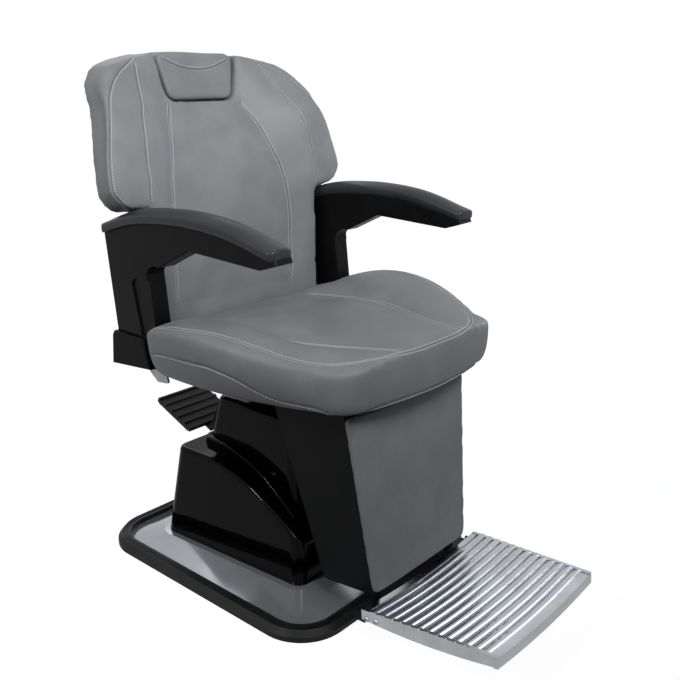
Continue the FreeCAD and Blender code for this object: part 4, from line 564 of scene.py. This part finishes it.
def make_headrest():
    pad = soft_copy("headrest_upholstery", "headrest_pad", "headrest", 4 * MM, 3)
    subdivide_once(pad)
    tracks = [laid_on(surface_of(pad), curve_through(HEAD_SMILE_SEAM))]
    press_seams(pad, tracks, HEAD_SEAM_DEPTH, HEAD_SEAM_REACH)
    surface = surface_of(pad)
    tracks = again(surface, tracks)
    sew("headrest_stitching", [beside(surface, tracks[0], WING_ROW)], "headrest")
    # A dark cord of painted shade along the bottom of the seam.
    seam_shade_cord("headrest_seam_painted_shade", tracks, "headrest")


def make_calf_pad():
    pad = soft_copy("calf_upholstery", "calf_pad", "legrest", 5 * MM, 10)
    subdivide_once(pad)


PAD_SINK = 4 * MM


def make_arm_pads():
    """Moulded pads whose soft underside settles on the arm and closes the joint."""
    for side in ("left", "right"):
        pad = soft_copy("armrest_pad_" + side, "arm_pad_" + side, "seat", 3 * MM, 4, SLATE_PAD)
        facing = [max(0.0, -v.normal.z) for v in pad.data.vertices]
        for v, share in zip(pad.data.vertices, facing):
            v.co.z -= PAD_SINK * share


# Screws of the foot plate


SCREW_SECTION = [(0, -2.4), (1.8, -2.4), (2.1, 0), (3.4, -0.3), (4.8, -1.2), (5.8, -2.5), (6.0, -3.4),
                 (3.0, -3.4), (3.0, -11), (0, -11)]
END_DEPTH = 0.6 * MM


def screw_places():
    """Middle of each screw's head and the way it faces, from the outer and inner ends of the solids."""
    corners = [v.co for v in NODES["plate_screws"].data.vertices]
    level = sum(c.y for c in corners) / len(corners)
    places = []
    for side in (1, -1):
        for front in (True, False):
            group = [c for c in corners if c.x * side > 0 and (c.y < level) == front]
            outer = max(c.x * side for c in group)
            inner = min(c.x * side for c in group)
            ends = [[c for c in group if abs(c.x * side - x) < END_DEPTH] for x in (outer, inner)]
            head, tip = (sum(end, Vector()) / len(end) for end in ends)
            places.append((head, (head - tip).normalized()))
    return places


def make_screws():
    """Button-head screws with a round socket, spun from half a section and set in the plate's sides."""
    bm = bmesh.new()
    for head, way in screw_places():
        place = Matrix.Translation(head) @ way.to_track_quat("Z", "Y").to_matrix().to_4x4()
        line = [bm.verts.new(place @ (Vector((r, 0, z)) * MM)) for r, z in SCREW_SECTION]
        edges = [bm.edges.new(pair) for pair in zip(line, line[1:])]
        bmesh.ops.spin(bm, geom=line + edges, cent=head, axis=way, steps=24, angle=math.tau, use_merge=True)
    bmesh.ops.remove_doubles(bm, verts=bm.verts, dist=WELD)
    bmesh.ops.recalc_face_normals(bm, faces=bm.faces)
    piece_from(bm, "foot_plate_screws", POLISHED_STEEL, "legrest", ("plate_screws",),
               sharp=35)


make_seat()
make_back()
make_headrest()
make_calf_pad()
make_arm_pads()
make_screws()


# Floor, light and camera


FLOOR_HALF = 15.0
FLOOR_FADE = (0.4, 0.4, 0.4)
FLOOR_MIRRORED, WORLD_MIRRORED, WORLD_FILL = 0.5, 0.7, 0.10
CAMERA_PLACE, CAMERA_AIM = Vector((-1.3500, -1.3445, 1.0976)), Vector((0.0, -0.1625, 0.54))
CAMERA_LENS, CAMERA_SENSOR = 46.13, 36.0


def make_floor():
    """A studio floor with the chair's soft shadow, white to the eye and half as bright when mirrored."""
    mat = blank("studio_floor")
    path = add(mat, "LightPath")
    where = add(mat, "TexCoord").outputs["Object"]
    near = add(mat, "Mapping", {"Scale": FLOOR_FADE}, {"Vector": where}).outputs["Vector"]
    closeness = add(mat, "TexGradient", links={"Vector": near}, gradient_type="SPHERICAL").outputs["Fac"]
    paint = add(mat, "BsdfDiffuse", {"Color": srgb("#7a7a7a")})
    shade = add(mat, "BsdfDiffuse", {"Color": srgb("#8a8a8a")})
    strength = span(mat, closeness, 1.0, 0.92, 0.0, 0.6)
    glow = add(mat, "Emission", {"Color": srgb("#ffffff")}, {"Strength": strength})
    both = add(mat, "AddShader")
    mat.node_tree.links.new(shade.outputs["BSDF"], both.inputs[0])
    mat.node_tree.links.new(glow.outputs["Emission"], both.inputs[1])
    mirror = add(mat, "Math", {1: FLOOR_MIRRORED}, {0: path.outputs["Is Glossy Ray"]}, operation="MULTIPLY")
    shown = add(mat, "Math", links={0: path.outputs["Is Camera Ray"], 1: mirror.outputs[0]},
                operation="MAXIMUM")
    seen = add(mat, "MixShader", links={"Fac": shown.outputs[0]})
    mat.node_tree.links.new(paint.outputs["BSDF"], seen.inputs[1])
    mat.node_tree.links.new(both.outputs["Shader"], seen.inputs[2])
    add(mat, "OutputMaterial", links={"Surface": seen.outputs["Shader"]})
    mesh = bpy.data.meshes.new("floor")
    bm = bmesh.new()
    bmesh.ops.create_grid(bm, x_segments=1, y_segments=1, size=FLOOR_HALF)
    bm.to_mesh(mesh)
    bm.free()
    mesh.materials.append(mat)
    floor = bpy.data.objects.new("floor", mesh)
    bpy.context.scene.collection.objects.link(floor)


def make_world():
    """Plain white all round for the eye, a little less in reflections, and a dim level as light."""
    world = bpy.data.worlds.new("studio")
    bpy.context.scene.world = world
    world.use_nodes = True
    world.node_tree.nodes.clear()
    path = add(world, "LightPath")
    mirror = add(world, "Math", {1: WORLD_MIRRORED}, {0: path.outputs["Is Glossy Ray"]},
                 operation="MULTIPLY")
    fill = add(world, "Math", {1: WORLD_FILL}, {0: mirror.outputs[0]}, operation="MAXIMUM")
    level = add(world, "Math", links={0: path.outputs["Is Camera Ray"], 1: fill.outputs[0]},
                operation="MAXIMUM")
    sky = add(world, "Background", {"Color": srgb("#ffffff")}, {"Strength": level.outputs[0]})
    add(world, "OutputWorld", links={"Surface": sky.outputs["Background"]})


def lamp(name, place, aim, size, power, colour="#ffffff", spread=180):
    """A flat rectangular lamp at a place, turned to face the point it is aimed at."""
    data = bpy.data.lights.new(name, "AREA")
    data.shape = "RECTANGLE"
    data.size, data.size_y = size
    data.energy = power
    data.color = srgb(colour)[:3]
    data.spread = math.radians(spread)
    item = bpy.data.objects.new(name, data)
    bpy.context.scene.collection.objects.link(item)
    item.location = place
    item.rotation_euler = (Vector(aim) - Vector(place)).to_track_quat("-Z", "Y").to_euler()


def make_camera():
    data = bpy.data.cameras.new("camera")
    data.sensor_width = CAMERA_SENSOR
    data.lens = CAMERA_LENS
    item = bpy.data.objects.new("camera", data)
    bpy.context.scene.collection.objects.link(item)
    item.location = CAMERA_PLACE
    item.rotation_euler = (CAMERA_AIM - CAMERA_PLACE).to_track_quat("-Z", "Y").to_euler()
    bpy.context.scene.camera = item


make_floor()
make_world()
lamp("key_softbox", (-0.35, -1.5, 2.05), (0.0, 0.2, 1.05), (1.2, 0.8), 9.5, spread=80)
lamp("edge_strip", (-2.4, 0.3, 1.9), (0.0, 0.0, 0.4), (0.03, 1.3), 24)
lamp("rear_card", (1.1, 2.2, 2.0), (-0.2, 0.2, 0.1), (1.1, 1.1), 7)
lamp("side_card", (2.2, -0.2, 1.2), (0.0, 0.0, 0.6), (0.7, 1.6), 8, "#e4ecff")
make_camera()

bpy.context.scene.view_settings.view_transform = "Standard"
